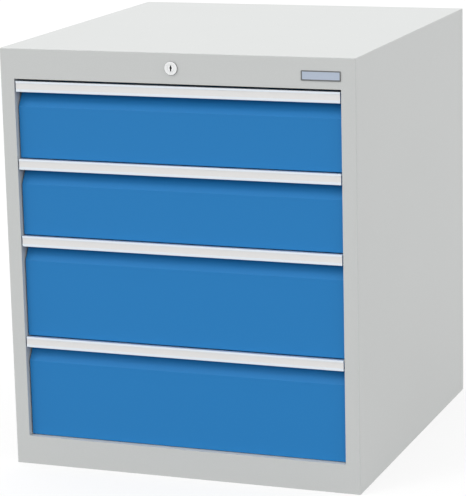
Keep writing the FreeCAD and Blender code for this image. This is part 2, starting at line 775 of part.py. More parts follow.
def drawer_box(drawer):
    """Open tray with an outward rim and rows of divider slots in its four walls."""
    label = f"drawer_box_{drawer}"
    bay = f"bay_{drawer}"
    rim_top = f"({bay} - box_drop)"
    box_inner_front = f"({BOX_FRONT} + box_sheet)"
    box_inner_back = f"({BOX_BACK} - box_sheet)"
    box = new_body(label, "0", "0", BAY_FLOOR[drawer])
    block = new_sketch(box, f"{label}_block", "XY_Plane", "box_lift")
    add_outline(block, rectangle(f"-{BOX_SIDE}", BOX_SIDE, BOX_FRONT, BOX_BACK))
    add_pad(box, block, f"{label}_walls", f"{rim_top} - box_lift")
    rim = new_sketch(box, f"{label}_rim_outline", "XY_Plane", rim_top)
    add_outline(
        rim,
        [
            (f"-({BOX_SIDE} + rim)", BOX_FRONT),
            (f"-{BOX_INNER_SIDE}", BOX_FRONT),
            (f"-{BOX_INNER_SIDE}", box_inner_back),
            (BOX_INNER_SIDE, box_inner_back),
            (BOX_INNER_SIDE, BOX_FRONT),
            (f"{BOX_SIDE} + rim", BOX_FRONT),
            (f"{BOX_SIDE} + rim", f"{BOX_BACK} + rim"),
            (f"-({BOX_SIDE} + rim)", f"{BOX_BACK} + rim"),
        ],
    )
    add_pad(box, rim, f"{label}_rim", "box_sheet", backwards=True)
    inside = new_sketch(box, f"{label}_inside", "XY_Plane", rim_top)
    add_outline(
        inside,
        rectangle(f"-{BOX_INNER_SIDE}", BOX_INNER_SIDE, box_inner_front, box_inner_back),
    )
    add_pocket(box, inside, f"{label}_hollow", f"{rim_top} - box_lift - box_sheet")
    divider_slots(box, label, rim_top)
    return box


def divider_slots(box, label, rim_top):
    """Rows of upright slots, cut through both side walls and through front and back wall."""
    slot_top = f"({rim_top} - divider_slot_drop)"
    slot_foot = f"({slot_top} - divider_slot_height)"
    first_across = f"(divider_pitch - {BOX_INNER_SIDE})"
    first_along = f"({BOX_FRONT} + box_sheet + divider_pitch)"
    inner_width = f"(2 * {BOX_INNER_SIDE})"
    inner_depth = f"({BOX_BACK} - {BOX_FRONT} - 2 * box_sheet)"
    middle = f"(({BOX_FRONT} + {BOX_BACK}) / 2)"
    rows = (
        ("sides", "YZ_Plane", "0", first_along, inner_depth, inner_width),
        ("ends", "XZ_Plane", f"-{middle}", first_across, inner_width, inner_depth),
    )
    for name, plane, offset, first, run, span in rows:
        slot = new_sketch(box, f"{label}_{name}_slot", plane, offset)
        add_outline(
            slot,
            rectangle(
                f"{first} - divider_slot_width / 2",
                f"{first} + divider_slot_width / 2",
                slot_foot,
                slot_top,
            ),
        )
        reach = f"{span} + 4 * box_sheet"
        cut = add_pocket(box, slot, f"{label}_{name}_cut", reach, "Symmetric")
        count = f"floor({run} / divider_pitch) - 1"
        add_row(box, cut, f"{label}_{name}_row", (slot, ["H_Axis"]), "divider_pitch", count)


def drawer_front(drawer):
    """Folded front: plain face, sloped finger recess, top flange for the grip, hem on the box."""
    label = f"drawer_front_{drawer}"
    bay = f"bay_{drawer}"
    face = f"({FRONT} + front_recess)"
    face_back = f"({face} + front_sheet)"
    strip = f"({face} + finger_depth)"
    strip_back = f"({strip} + front_sheet)"
    foot = "front_gap"
    flange_top = f"({bay} - grip_lip - flange_play)"
    flange_edge = f"({FRONT} + grip_face + grip_wall + flange_play)"
    slope_height = "(finger_bottom - finger_top)"
    half_turn = f"((sqrt(finger_depth ^ 2 + {slope_height} ^ 2) - {slope_height}) / finger_depth)"
    bend_shift = f"(front_sheet * {half_turn})"
    corners = [
        (strip_back, flange_top),
        (flange_edge, flange_top),
        (flange_edge, f"{flange_top} - front_sheet"),
        (strip, f"{flange_top} - front_sheet"),
        (strip, f"{bay} - finger_top"),
        (face, f"{bay} - finger_bottom"),
        (face, foot),
        (strip_back, foot),
        (strip_back, f"{foot} + front_hem"),
        (strip, f"{foot} + front_hem"),
        (strip, f"{foot} + front_sheet"),
        (face_back, f"{foot} + front_sheet"),
        (face_back, f"{bay} - finger_bottom - {bend_shift}"),
        (strip_back, f"{bay} - finger_top - {bend_shift}"),
    ]
    place = ("0", "0", BAY_FLOOR[drawer])
    front = prism(label, "YZ_Plane", corners, f"2 * {FRONT_SIDE}", "Symmetric", place=place)
    bends = [size_of(f"{bay} - finger_bottom"), size_of(f"{bay} - finger_top")]
    round_edges(
        front,
        f"{label}_bends",
        "front_bend",
        lambda edge, whole: any(near(edge.ZMin, bend) and near(edge.ZMax, bend) for bend in bends),
    )
    flanges = new_sketch(front, f"{label}_flange_outline", "XY_Plane", f"{foot} + front_sheet")
    for sign in ("-", ""):
        add_outline(
            flanges,
            rectangle(
                f"{sign}({FRONT_SIDE} - front_sheet)",
                f"{sign}{FRONT_SIDE}",
                face_back,
                f"{face} + front_flange",
            ),
        )
    flange_height = f"{bay} - finger_bottom - {bend_shift} - {foot} - front_sheet"
    add_pad(front, flanges, f"{label}_flanges", flange_height)
    return front


def drawer_grip(drawer):
    """Full-width extrusion: hook over the front's flange, label channel, rounded finger nose."""
    label = f"drawer_grip_{drawer}"
    face = f"({FRONT} + grip_face)"
    web_back = f"({face} + grip_wall)"
    hook_back = f"({face} + grip_hook)"
    nose_back = f"({face} + grip_nose_depth)"
    nose_top = "(-grip_height + grip_nose_height)"
    jaw = "(-grip_lip - front_sheet - 2 * flange_play)"
    lip_back = f"({face} + label_lip)"
    channel_back = f"({lip_back} + label_depth)"
    channel_top = "(-label_margin)"
    channel_foot = "(-label_margin - label_height)"
    corners = [
        (face, "0"),
        (hook_back, "0"),
        (hook_back, "-grip_lip"),
        (web_back, "-grip_lip"),
        (web_back, jaw),
        (hook_back, jaw),
        (hook_back, f"{jaw} - grip_lip"),
        (web_back, f"{jaw} - grip_lip"),
        (web_back, nose_top),
        (nose_back, nose_top),
        (nose_back, "-grip_height"),
        (face, "-grip_height"),
        (face, f"{channel_foot} + label_lip_reach"),
        (lip_back, f"{channel_foot} + label_lip_reach"),
        (lip_back, channel_foot),
        (channel_back, channel_foot),
        (channel_back, channel_top),
        (lip_back, channel_top),
        (lip_back, f"{channel_top} - label_lip_reach"),
        (face, f"{channel_top} - label_lip_reach"),
    ]
    place = ("0", "0", f"{BAY_FLOOR[drawer]} + bay_{drawer}")
    grip = prism(label, "YZ_Plane", corners, f"2 * {FRONT_SIDE}", "Symmetric", place=place)
    round_edges(
        grip,
        f"{label}_nose",
        "grip_nose_radius",
        lambda edge, whole: edge.XLength > 0.9 * whole.XLength and near(edge.ZMax, whole.ZMin),
    )
    round_edges(
        grip,
        f"{label}_crown",
        "grip_lip / 2",
        lambda edge, whole: edge.XLength > 0.9 * whole.XLength
        and near(edge.ZMin, whole.ZMax)
        and near(edge.YMax, whole.YMin),
    )
    return grip


def label_strip(drawer):
    """Blank label strip held in the grip's channel."""
    front = f"({FRONT} + grip_face + label_lip + (label_depth - label_thickness) / 2)"
    return prism(
        f"label_strip_{drawer}",
        "YZ_Plane",
        rectangle(
            front,
            f"{front} + label_thickness",
            "-label_margin - label_height + label_play",
            "-label_margin - label_play",
        ),
        f"2 * {FRONT_SIDE}",
        "Symmetric",
        place=("0", "0", f"{BAY_FLOOR[drawer]} + bay_{drawer}"),
    )


# ---------------------------------------------------------------- lock


def turned_along_depth(label, corners):
    """A body turned round the lock's axis; corners are (distance along Y, radius)."""
    body = new_body(label, "lock_offset", "0", LOCK_HEIGHT)
    sketch = new_sketch(body, f"{label}_section", "YZ_Plane")
    add_outline(sketch, corners)
    add_revolution(body, sketch, f"{label}_turned")
    return body


def lock_body():
    """Flanged barrel through the header."""
    bore = "rotor_radius + rotor_play"
    face = f"({FRONT} - lock_flange)"
    corners = [
        (face, bore),
        (face, "lock_flange_radius - lock_flange / 2"),
        (f"{FRONT} - lock_flange / 2", "lock_flange_radius"),
        (FRONT, "lock_flange_radius"),
        (FRONT, "lock_barrel_radius"),
        (f"{FRONT} + lock_barrel", "lock_barrel_radius"),
        (f"{FRONT} + lock_barrel", bore),
    ]
    return turned_along_depth("lock_body", corners)


def lock_cylinder():
    """Rotor with an upright keyway that has a round part near its middle."""
    face = f"({FRONT} - lock_flange + rotor_sink)"
    corners = [
        (face, "0"),
        (face, "rotor_radius"),
        (CAM_FRONT, "rotor_radius"),
        (CAM_FRONT, "0"),
    ]
    rotor = turned_along_depth("lock_cylinder", corners)
    slot = new_sketch(rotor, "keyway_slot", "XZ_Plane", f"-{face}")
    add_outline(
        slot,
        rectangle("-keyway_width / 2", "keyway_width / 2", "-keyway_height / 2", "keyway_height / 2"),
    )
    add_pocket(rotor, slot, "keyway", "keyway_depth")
    bulge = new_sketch(rotor, "keyway_bulge_circle", "XZ_Plane", f"-{face}")
    add_circle(bulge, "0", "keyway_bulge_rise", "keyway_bulge")
    add_pocket(rotor, bulge, "keyway_round", "keyway_depth")
    return rotor


def lock_nut():
    """Hexagon nut on the barrel, behind the header's face."""
    nut = new_body("lock_nut", "lock_offset", "0", LOCK_HEIGHT)
    hexagon = new_sketch(nut, "nut_outline", "XZ_Plane", f"-({FRONT} + wall)")
    corner = "(nut_flats / sqrt(3))"
    add_outline(
        hexagon,
        [
            (corner, "0"),
            (f"{corner} / 2", "nut_flats / 2"),
            (f"-{corner} / 2", "nut_flats / 2"),
            (f"-{corner}", "0"),
            (f"-{corner} / 2", "-nut_flats / 2"),
            (f"{corner} / 2", "-nut_flats / 2"),
        ],
    )
    add_circle(hexagon, "0", "0", "lock_barrel_radius + rivet_play")
    add_pad(nut, hexagon, "nut_pad", "nut_thickness", backwards=True)
    return nut


def lock_cam():
    """Cam behind the rotor; its pin drives the transfer bar."""
    cam = new_body("lock_cam", "lock_offset", "0", LOCK_HEIGHT)
    turn = FreeCAD.Rotation(FreeCAD.Vector(0, 1, 0), 1)
    cam.Placement = FreeCAD.Placement(cam.Placement.Base, turn)
    bind(cam, "Placement.Rotation.Angle", "-cam_angle")
    boss = new_sketch(cam, "cam_boss_circle", "XZ_Plane", f"-{CAM_FRONT}")
    add_circle(boss, "0", "0", "cam_boss_radius")
    add_pad(cam, boss, "cam_boss", "cam_sheet", backwards=True)
    tip = new_sketch(cam, "cam_tip_circle", "XZ_Plane", f"-{CAM_FRONT}")
    add_circle(tip, "0", "-cam_radius", "cam_tip_radius")
    add_pad(cam, tip, "cam_tip", "cam_sheet", backwards=True)
    web = new_sketch(cam, "cam_web_outline", "XZ_Plane", f"-{CAM_FRONT}")
    add_outline(web, rectangle("-cam_tip_radius", "cam_tip_radius", "-cam_radius", "0"))
    add_pad(cam, web, "cam_web", "cam_sheet", backwards=True)
    pin = new_sketch(cam, "cam_pin_circle", "XZ_Plane", f"-{CAM_BACK}")
    add_circle(pin, "0", "-cam_radius", "pin_radius")
    add_pad(cam, pin, "cam_pin", f"{TRANSFER_BACK} + pin_radius / 2 - {CAM_BACK}", backwards=True)
    return cam


def transfer_bar():
    """Bar across the header: an upright slot for the cam's pin, a sloped slot for the lock bar's."""
    reach = "(pin_radius + pin_play)"
    top = f"({LOCK_HEIGHT} + transfer_rise)"
    cam_high = f"({LOCK_HEIGHT} - cam_radius * cos(cam_angle * 1 deg))"
    cam_low = f"({LOCK_HEIGHT} - cam_radius)"
    arm_pin = arm_pin_height()
    right_end = f"({ARM_PIN_SIDE} + {CAM_SWING} + {reach} + transfer_margin / 2)"
    bar = prism(
        "transfer_bar",
        "XZ_Plane",
        rectangle(f"{CAM_PIN_SIDE} - {reach} - transfer_margin", right_end, f"{top} - transfer_height", top),
        "transfer_sheet",
        backwards=True,
        offset=f"-{TRANSFER_FRONT}",
    )
    upright_slot = new_sketch(bar, "cam_slot_outline", "XZ_Plane", f"-{TRANSFER_BACK}")
    add_outline(
        upright_slot,
        rectangle(
            f"{CAM_PIN_SIDE} - {reach}",
            f"{CAM_PIN_SIDE} + {reach}",
            f"{cam_low} - {reach}",
            f"{cam_high} + {reach}",
        ),
    )
    add_pocket(bar, upright_slot, "cam_slot", "2 * transfer_sheet", backwards=True)
    slope = f"({reach} * sqrt({CAM_SWING} ^ 2 + lock_travel ^ 2) / {CAM_SWING})"
    left, right = f"({ARM_PIN_SIDE} - {reach})", f"({ARM_PIN_SIDE} + {CAM_SWING} + {reach})"
    fall = f"(lock_travel / {CAM_SWING})"
    left_height = f"({arm_pin} + {fall} * {reach})"
    right_height = f"({arm_pin} - lock_travel - {fall} * {reach})"
    sloped_slot = new_sketch(bar, "arm_slot_outline", "XZ_Plane", f"-{TRANSFER_BACK}")
    add_outline(
        sloped_slot,
        [
            (left, f"{left_height} - {slope}"),
            (right, f"{right_height} - {slope}"),
            (right, f"{right_height} + {slope}"),
            (left, f"{left_height} + {slope}"),
        ],
    )
    add_pocket(bar, sloped_slot, "arm_slot", "2 * transfer_sheet", backwards=True)
    return bar


def arm_pin_height():
    """Height of the lock bar's pin when unlocked, centred with its travel on the transfer bar."""
    return f"({LOCK_HEIGHT} + transfer_rise - transfer_height / 2 + lock_travel / 2)"


def keeper_top(drawer):
    return f"({BAY_FLOOR[drawer]} + bay_{drawer} - keeper_drop)"


def lock_bar():
    """Upright strip behind the right stile."""
    foot = f"({keeper_top('4')} - lock_bar_tail)"
    top = f"({arm_pin_height()} + arm_height / 2)"
    return prism(
        "lock_bar",
        "XZ_Plane",
        rectangle(LOCK_BAR_INNER, LOCK_BAR_OUTER, foot, top),
        "lock_bar_sheet",
        backwards=True,
        offset=f"-{LOCK_BAR_FRONT}",
    )


def lock_hooks():
    """Hooks welded to the lock bar's edge, one a drawer, and the arm with its pin at the top."""
    pieces = []
    for drawer in DRAWERS:
        foot = f"({keeper_top(drawer)} + hook_lift)"
        pieces.append(
            prism(
                f"lock_hook_{drawer}",
                "XZ_Plane",
                rectangle(f"{LOCK_BAR_INNER} - hook_reach", LOCK_BAR_INNER, foot, f"{foot} + hook_height"),
                "lock_bar_sheet",
                backwards=True,
                offset=f"-{LOCK_BAR_FRONT}",
            )
        )
    middle = arm_pin_height()
    arm = prism(
        "lock_arm",
        "XZ_Plane",
        rectangle(
            f"{LOCK_BAR_INNER} - arm_reach",
            LOCK_BAR_INNER,
            f"{middle} - arm_height / 2",
            f"{middle} + arm_height / 2",
        ),
        "lock_bar_sheet",
        backwards=True,
        offset=f"-{LOCK_BAR_FRONT}",
    )
    pin = new_sketch(arm, "arm_pin_circle", "XZ_Plane", f"-{LOCK_BAR_BACK}")
    add_circle(pin, ARM_PIN_SIDE, middle, "pin_radius")
    add_pad(arm, pin, "arm_pin", f"{TRANSFER_BACK} + pin_radius / 2 - {LOCK_BAR_BACK}", backwards=True)
    pieces.append(arm)
    return group("lock_hooks", pieces)


def lock_guides():
    """Guides for the lock bar on the side panel, and for the transfer bar on the header."""
    pieces = []
    lowest = f"({keeper_top('4')} - lock_bar_tail + lock_travel + guide_play)"
    for number, foot in enumerate((lowest, f"({lowest} + guide_pitch)"), start=1):
        name = f"lock_bar_guide_{number}"
        block = new_body(name)
        ring = new_sketch(block, f"{name}_outline", "XY_Plane", foot)
        add_outline(
            ring,
            rectangle(
                f"{LOCK_BAR_INNER} - guide_play - guide_wall",
                f"{SIDE} - wall",
                f"{LOCK_BAR_FRONT} - guide_play - guide_wall",
                f"{LOCK_BAR_BACK} + guide_play + guide_wall",
            ),
        )
        add_outline(
            ring,
            rectangle(
                f"{LOCK_BAR_INNER} - guide_play",
                f"{LOCK_BAR_OUTER} + guide_play",
                f"{LOCK_BAR_FRONT} - guide_play",
                f"{LOCK_BAR_BACK} + guide_play",
            ),
        )
        add_pad(block, ring, f"{name}_pad", "guide_length")
        pieces.append(block)
    top = f"({LOCK_HEIGHT} + transfer_rise)"
    for end, pin in (("left", CAM_PIN_SIDE), ("right", ARM_PIN_SIDE)):
        name = f"transfer_bar_guide_{end}"
        block = new_body(name)
        quarter_point = f"(({CAM_PIN_SIDE} + {ARM_PIN_SIDE}) / 4 + {pin} / 2)"
        ring = new_sketch(block, f"{name}_outline", "YZ_Plane", quarter_point)
        add_outline(
            ring,
            rectangle(
                f"{FRONT} + wall",
                f"{TRANSFER_BACK} + guide_play + guide_wall",
                f"{top} - transfer_height - guide_play - guide_wall",
                f"{top} + guide_play + guide_wall",
            ),
        )
        add_outline(
            ring,
            rectangle(
                f"{TRANSFER_FRONT} - guide_play",
                f"{TRANSFER_BACK} + guide_play",
                f"{top} - transfer_height - guide_play",
                f"{top} + guide_play",
            ),
        )
        add_pad(block, ring, f"{name}_pad", "guide_length", "Symmetric")
        pieces.append(block)
    return group("lock_guides", pieces)


def nameplate():
    """Blank plate with a raised border on the header."""
    middle = f"({SIDE} - plate_side_gap - plate_width / 2)"
    plate = prism(
        "nameplate",
        "XZ_Plane",
        rectangle("-plate_width / 2", "plate_width / 2", "-plate_height / 2", "plate_height / 2"),
        "plate_thickness",
        offset=f"-{FRONT}",
        place=(middle, "0", f"{HEIGHT} - plate_drop"),
    )
    round_edges(
        plate,
        "plate_corners",
        "plate_corner",
        lambda edge, whole: near(edge.YLength, whole.YLength) and edge.XLength < 0.001,
    )
    field = new_sketch(plate, "plate_field_outline", "XZ_Plane", f"-({FRONT} - plate_thickness)")
    half_width = "(plate_width / 2 - plate_border)"
    half_height = "(plate_height / 2 - plate_border)"
    add_outline(field, rectangle(f"-{half_width}", half_width, f"-{half_height}", half_height))
    add_pocket(plate, field, "plate_field", "plate_sink")
    return plate


# ---------------------------------------------------------------- assembly and export


def build():
    """Make every sub-part, in the order of assembly."""
    parts = [
        side_panel("side_panel_left", "-1"),
        side_panel("side_panel_right", "1"),
        top_cover(),
        back_panel(),
        bottom_panel(),
        header_rail(),
        base_rail(),
        uprights("front_uprights", FRONT_UPRIGHT),
        uprights("rear_uprights", REAR_UPRIGHT),
        rail_rivets(),
        lock_body(),
        lock_nut(),
        lock_cylinder(),
        lock_cam(),
        transfer_bar(),
        lock_bar(),
        lock_hooks(),
        lock_guides(),
        nameplate(),
    ]
    for drawer in DRAWERS:
        parts += [
            cabinet_rails(drawer),
            carriers(drawer),
            *(wheels(drawer, axle) for axle in AXLES),
            drawer_rails(drawer),
            drawer_box(drawer),
            drawer_front(drawer),
            drawer_grip(drawer),
            label_strip(drawer),
        ]
    return parts


def check(parts):
    """Stop if any object failed, any cut removed nothing or any sub-part isn't a sound solid."""
    for thing in doc.Objects:
        if {"Invalid", "Error"} & set(thing.State):
            raise RuntimeError(f"{thing.Label} failed: {thing.State}")
    for before, pocket in cuts:
        if pocket.Shape.Volume > before.Shape.Volume - 0.01:
            raise RuntimeError(f"{pocket.Label} removes nothing")
    for part in parts:
        if part.Shape.isNull() or not part.Shape.isValid() or not part.Shape.Solids:
            raise RuntimeError(f"{part.Label} isn't a valid solid")


def export(parts):
    os.makedirs("parts", exist_ok=True)
    for part in parts:
        part.Shape.exportStep(f"parts/{part.Label}.step")


fill_sheet()
sub_parts = build()
doc.recompute()
check(sub_parts)
export(sub_parts)
print(f"{len(sub_parts)} sub-parts written")
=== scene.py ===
"""Dressing of a steel drawer cabinet: its finishes, its small round pieces and a stage.

Metres, +Z up, front towards -Y, origin at the middle of the footprint on the floor.
"""

import math

import bmesh
import bpy
from mathutils import Matrix, Vector


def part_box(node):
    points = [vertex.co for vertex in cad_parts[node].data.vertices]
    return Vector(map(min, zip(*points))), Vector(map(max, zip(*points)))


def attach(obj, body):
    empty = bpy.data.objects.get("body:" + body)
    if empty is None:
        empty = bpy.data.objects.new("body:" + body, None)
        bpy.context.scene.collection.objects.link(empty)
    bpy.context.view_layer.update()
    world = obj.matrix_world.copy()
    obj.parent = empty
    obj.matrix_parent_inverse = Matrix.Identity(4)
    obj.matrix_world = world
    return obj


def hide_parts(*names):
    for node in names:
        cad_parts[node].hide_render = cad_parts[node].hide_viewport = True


bl_info = {
    "name": "Drawer cabinet",
    "version": (1, 0, 0),
    "blender": (4, 5, 0),
    "location": "View3D > Sidebar > Cabinet",
    "description": "Finishes and small pieces of a steel drawer cabinet on a plain stage",
    "category": "Object",
}

MM = 0.001
DRAWERS = ("1", "2", "3", "4")
WELD_SIDES = 16
RIVET_SIDES = 32
ROUND_STEPS = 5
SHARP_ANGLE = math.radians(35)
ROLLER_ROUGHNESS = 0.3
LOCK_ROUGHNESS = 0.24

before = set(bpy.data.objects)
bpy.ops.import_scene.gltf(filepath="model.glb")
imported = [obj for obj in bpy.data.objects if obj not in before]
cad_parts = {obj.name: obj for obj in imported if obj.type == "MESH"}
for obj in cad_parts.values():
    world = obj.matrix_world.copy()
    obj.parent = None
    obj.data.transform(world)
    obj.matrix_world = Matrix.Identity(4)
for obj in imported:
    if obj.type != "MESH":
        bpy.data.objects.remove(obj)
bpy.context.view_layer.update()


def colour(code):
    """Linear RGBA of a colour written as six hexadecimal digits of sRGB."""
    parts = [int(code[k:k + 2], 16) / 255 for k in (0, 2, 4)]
    return [((p + 0.055) / 1.055) ** 2.4 if p > 0.04045 else p / 12.92 for p in parts] + [1.0]


def colour_property(name, code, description):
    return bpy.props.FloatVectorProperty(
        name=name, description=description, subtype="COLOR", size=4, min=0, max=1,
        default=colour(code),
    )


def length_property(name, default, description):
    return bpy.props.FloatProperty(
        name=name, description=description, subtype="DISTANCE", unit="LENGTH", min=0,
        precision=5, default=default,
    )


def level_property(name, default, description):
    return bpy.props.FloatProperty(name=name, description=description, min=0, default=default)


# ---------------------------------------------------------------- settings


class CabinetFinishes(bpy.types.PropertyGroup):
    housing: colour_property("Housing", "c9cbca", "Powder coat of the housing")
    front: colour_property("Drawer fronts", "1f7abb", "Powder coat of the drawer fronts")
    box: colour_property("Drawer boxes", "c4c7c8", "Powder coat of the drawer boxes")
    grip: colour_property("Grips", "e6edf4", "Anodised aluminium of the grips")
    label: colour_property("Label strips", "e4e3e2", "Blank label strips")
    zinc: colour_property("Zinc", "b9bcc0", "Zinc plating of runners and lock parts")
    steel: colour_property("Rollers", "94989c", "Turned steel of the rollers")
    nickel: colour_property("Lock", "f2f3f3", "Nickel plating of the lock")
    plate: colour_property("Nameplate", "b4bfd0", "Field of the blank nameplate")
    plate_rim: colour_property("Nameplate rim", "6f7172", "Border of the blank nameplate")
    peel: length_property("Peel grain", 1.4 * MM, "Size of the powder coat's ripples")
    peel_depth: length_property("Peel depth", 0.03 * MM, "Height of the powder coat's ripples")


class CabinetDetails(bpy.types.PropertyGroup):
    weld_pitch: length_property("Weld pitch", 52 * MM, "Least distance between spot welds")
    weld_radius: length_property("Weld radius", 2.6 * MM, "Radius of a spot weld's mark")
    weld_height: length_property("Weld height", 0.3 * MM, "Height of a spot weld's rim")
    rivet_radius: length_property("Rivet radius", 4.5 * MM, "Radius of a rivet's head")
    rivet_height: length_property("Rivet height", 1.2 * MM, "Height of a rivet's head")
    roller_edge: length_property("Roller edge", 0.8 * MM, "Rounding of a roller's tread")
    seal_depth: length_property("Seal depth", 0.5 * MM, "Depth of a roller's bearing seal")
    lock_edge: length_property("Lock edge", 0.5 * MM, "Rounding of the lock's flange")
    keyway_width: length_property("Keyway width", 2.4 * MM, "Width of the keyway")
    keyway_height: length_property("Keyway height", 11 * MM, "Height of the keyway")
    keyway_round: length_property("Keyway round", 2.3 * MM, "Radius of the keyway's round part")
    sides: bpy.props.IntProperty(
        name="Round sides", description="Sides of the round pieces", min=24, max=128, default=64,
    )


class CabinetStage(bpy.types.PropertyGroup):
    camera_place: bpy.props.FloatVectorProperty(
        name="Camera place", description="Where the camera stands", subtype="TRANSLATION",
        unit="LENGTH", size=3, default=(1.6124, -4.3341, 1.4150),
    )
    azimuth: bpy.props.FloatProperty(
        name="Azimuth", description="Turn of the view to the left of straight ahead",
        subtype="ANGLE", default=math.radians(20.746),
    )
    elevation: bpy.props.FloatProperty(
        name="Elevation", description="How far the view looks down",
        subtype="ANGLE", default=math.radians(12.719),
    )
    roll: bpy.props.FloatProperty(
        name="Roll", description="Turn of the camera round its own axis",
        subtype="ANGLE", default=math.radians(1.354),
    )
    lens: bpy.props.FloatProperty(
        name="Lens", description="Focal length in millimetres", min=1, default=170.15,
    )
    floor: colour_property("Floor", "f4f4f4", "Floor and backdrop")
    floor_glow: bpy.props.FloatProperty(
        name="Floor glow", description="Share of the floor's white that takes no shadow",
        subtype="FACTOR", min=0, max=1, default=0.72,
    )
    floor_bounce: bpy.props.FloatProperty(
        name="Floor bounce", description="Share of its colour that the floor throws back",
        subtype="FACTOR", min=0, max=1, default=0.33,
    )
    around: level_property("Light around", 2.36, "Strength of the even light from the sides")
    zenith: level_property("Light above", 0.67, "Strength of the even light from straight above")
    haze: level_property("Haze", 0.3, "Share of the light from the sides left at the floor's level")
    key_light: level_property("Key light", 0.15, "Level of the lamp at the upper left")


# ---------------------------------------------------------------- nodes


class Wire:
    """A node's socket that takes part in Python arithmetic."""

    def __init__(self, tree, socket):
        self.tree = tree
        self.socket = socket

    def maths(self, operation, *values):
        return self.tree.node("ShaderNodeMath", {"operation": operation}, values)

    def __add__(self, other):
        return self.maths("ADD", self, other)

    def __radd__(self, other):
        return self.maths("ADD", other, self)

    def __sub__(self, other):
        return self.maths("SUBTRACT", self, other)

    def __rsub__(self, other):
        return self.maths("SUBTRACT", other, self)

    def __mul__(self, other):
        return self.maths("MULTIPLY", self, other)

    def __rmul__(self, other):
        return self.maths("MULTIPLY", other, self)

    def __abs__(self):
        return self.maths("ABSOLUTE", self)

    def above(self, other):
        """1 where this value is over the other, else 0."""
        return self.maths("GREATER_THAN", self, other)

    def most(self, other):
        """The larger of two values."""
        return self.maths("MAXIMUM", self, other)


class Nodes:
    """A node tree that is written as expressions."""

    def __init__(self, tree):
        self.tree = tree
        self.nodes = tree.nodes
        self.links = tree.links
        self.nodes.clear()

    def node(self, kind, settings=None, values=(), output=0):
        """Add a node: its settings first, then values or wires for its inputs."""
        new = self.nodes.new(kind)
        for name, value in (settings or {}).items():
            setattr(new, name, value)
        pairs = values.items() if isinstance(values, dict) else enumerate(values)
        for name, value in pairs:
            self.feed(new.inputs[name], value)
        return Wire(self, new.outputs[output]) if new.outputs else new

    def feed(self, socket, value):
        if isinstance(value, Wire):
            self.links.new(value.socket, socket)
        else:
            socket.default_value = value

    def axes(self, vector):
        """The three numbers of a vector."""
        parts = self.node("ShaderNodeSeparateXYZ", {}, [vector]).socket.node
        return [Wire(self, parts.outputs[k]) for k in range(3)]

    def seen(self):
        """1 for what the camera, a reflection or clear glass shows, 0 for scattered light."""
        path = self.nodes.new("ShaderNodeLightPath").outputs
        camera, glossy, clear = (
            Wire(self, path[name])
            for name in ("Is Camera Ray", "Is Glossy Ray", "Is Transmission Ray")
        )
        return camera.most(glossy).most(clear)


class Finish(Nodes):
    """A material's node tree and the patterns that the finishes share."""

    def __init__(self, name):
        self.material = bpy.data.materials.new(name)
        self.material.use_nodes = True
        super().__init__(self.material.node_tree)
        surface = self.node("ShaderNodeBsdfPrincipled")
        self.shader = surface.socket.node
        self.node("ShaderNodeOutputMaterial", {}, {"Surface": surface})
        self.place = self.node("ShaderNodeTexCoord", output="Object")

    def set(self, **values):
        """Set the shader's inputs; an underscore in a name stands for a space."""
        for name, value in values.items():
            self.feed(self.shader.inputs[name.replace("_", " ")], value)
        return self.material

    def noise(self, size, detail=2.0, stretch=(1, 1, 1)):
        """Noise between 0 and 1 whose features are about size long, drawn out by stretch."""
        scale = tuple(1 / (size * s) for s in stretch)
        mapped = self.node(
            "ShaderNodeMapping", {"vector_type": "POINT"}, {"Vector": self.place, "Scale": scale},
        )
        values = {"Vector": mapped, "Scale": 1.0, "Detail": detail, "Roughness": 0.5}
        return self.node("ShaderNodeTexNoise", {}, values)

    def mix(self, factor, first, second):
        """A blend of two colours."""
        values = {0: factor, 6: first, 7: second}
        return self.node("ShaderNodeMix", {"data_type": "RGBA"}, values, output=2)

    def bump(self, height, distance):
        """The normal of a surface in relief, where a height of 1 stands distance proud."""
        values = {"Height": height, "Distance": distance, "Strength": 1.0}
        return self.node("ShaderNodeBump", {}, values)


class Pattern(Nodes):
    """A Geometry Nodes tree with named inputs."""

    KINDS = {
        "length": "NodeSocketFloat", "count": "NodeSocketInt", "material": "NodeSocketMaterial",
    }

    def __init__(self, name, inputs):
        tree = bpy.data.node_groups.new(name, "GeometryNodeTree")
        super().__init__(tree)
        tree.interface.new_socket("Geometry", in_out="INPUT", socket_type="NodeSocketGeometry")
        for label, kind in inputs:
            tree.interface.new_socket(label, in_out="INPUT", socket_type=self.KINDS[kind])
        tree.interface.new_socket("Geometry", in_out="OUTPUT", socket_type="NodeSocketGeometry")
        self.start = self.nodes.new("NodeGroupInput")

    def given(self, label):
        return Wire(self, self.start.outputs[label])

    def end(self, geometry):
        self.node("NodeGroupOutput", {}, {"Geometry": geometry})
        return self.tree


def shade(rgba, factor):
    """The colour made lighter or darker by a factor."""
    return [min(1.0, c * factor) for c in rgba[:3]] + [1.0]


# ---------------------------------------------------------------- finishes


def powder_coat(name, rgba, settings):
    """Sprayed coat: fine ripples with painted shade in their hollows and painted light on their
    crests, and slow drifts of tone and gloss.
    """
    roughness = 0.42
    finish = Finish(name)
    drift = finish.noise(220 * MM, detail=3.0)
    speck = finish.noise(0.6 * settings.peel, detail=1.0)
    ripple = finish.noise(settings.peel, detail=2.0)
    waves = finish.noise(5 * settings.peel, detail=1.0)
    # Painted shade and light: the tone follows the fine ripples, darker in their hollows and
    # lighter on their crests.
    tone = finish.mix(ripple, shade(rgba, 0.91), shade(rgba, 1.09))
    tone = finish.mix(drift * 0.5, tone, shade(rgba, 1.02))
    tone = finish.mix(speck * 0.2, tone, shade(rgba, 0.93))
    normal = finish.bump(ripple + waves * 1.5, settings.peel_depth)
    return finish.set(
        Base_Color=tone,
        Roughness=roughness + (drift - 0.5) * 0.08 + (speck - 0.5) * 0.05,
        Specular_IOR_Level=0.3,
        Normal=normal,
    )


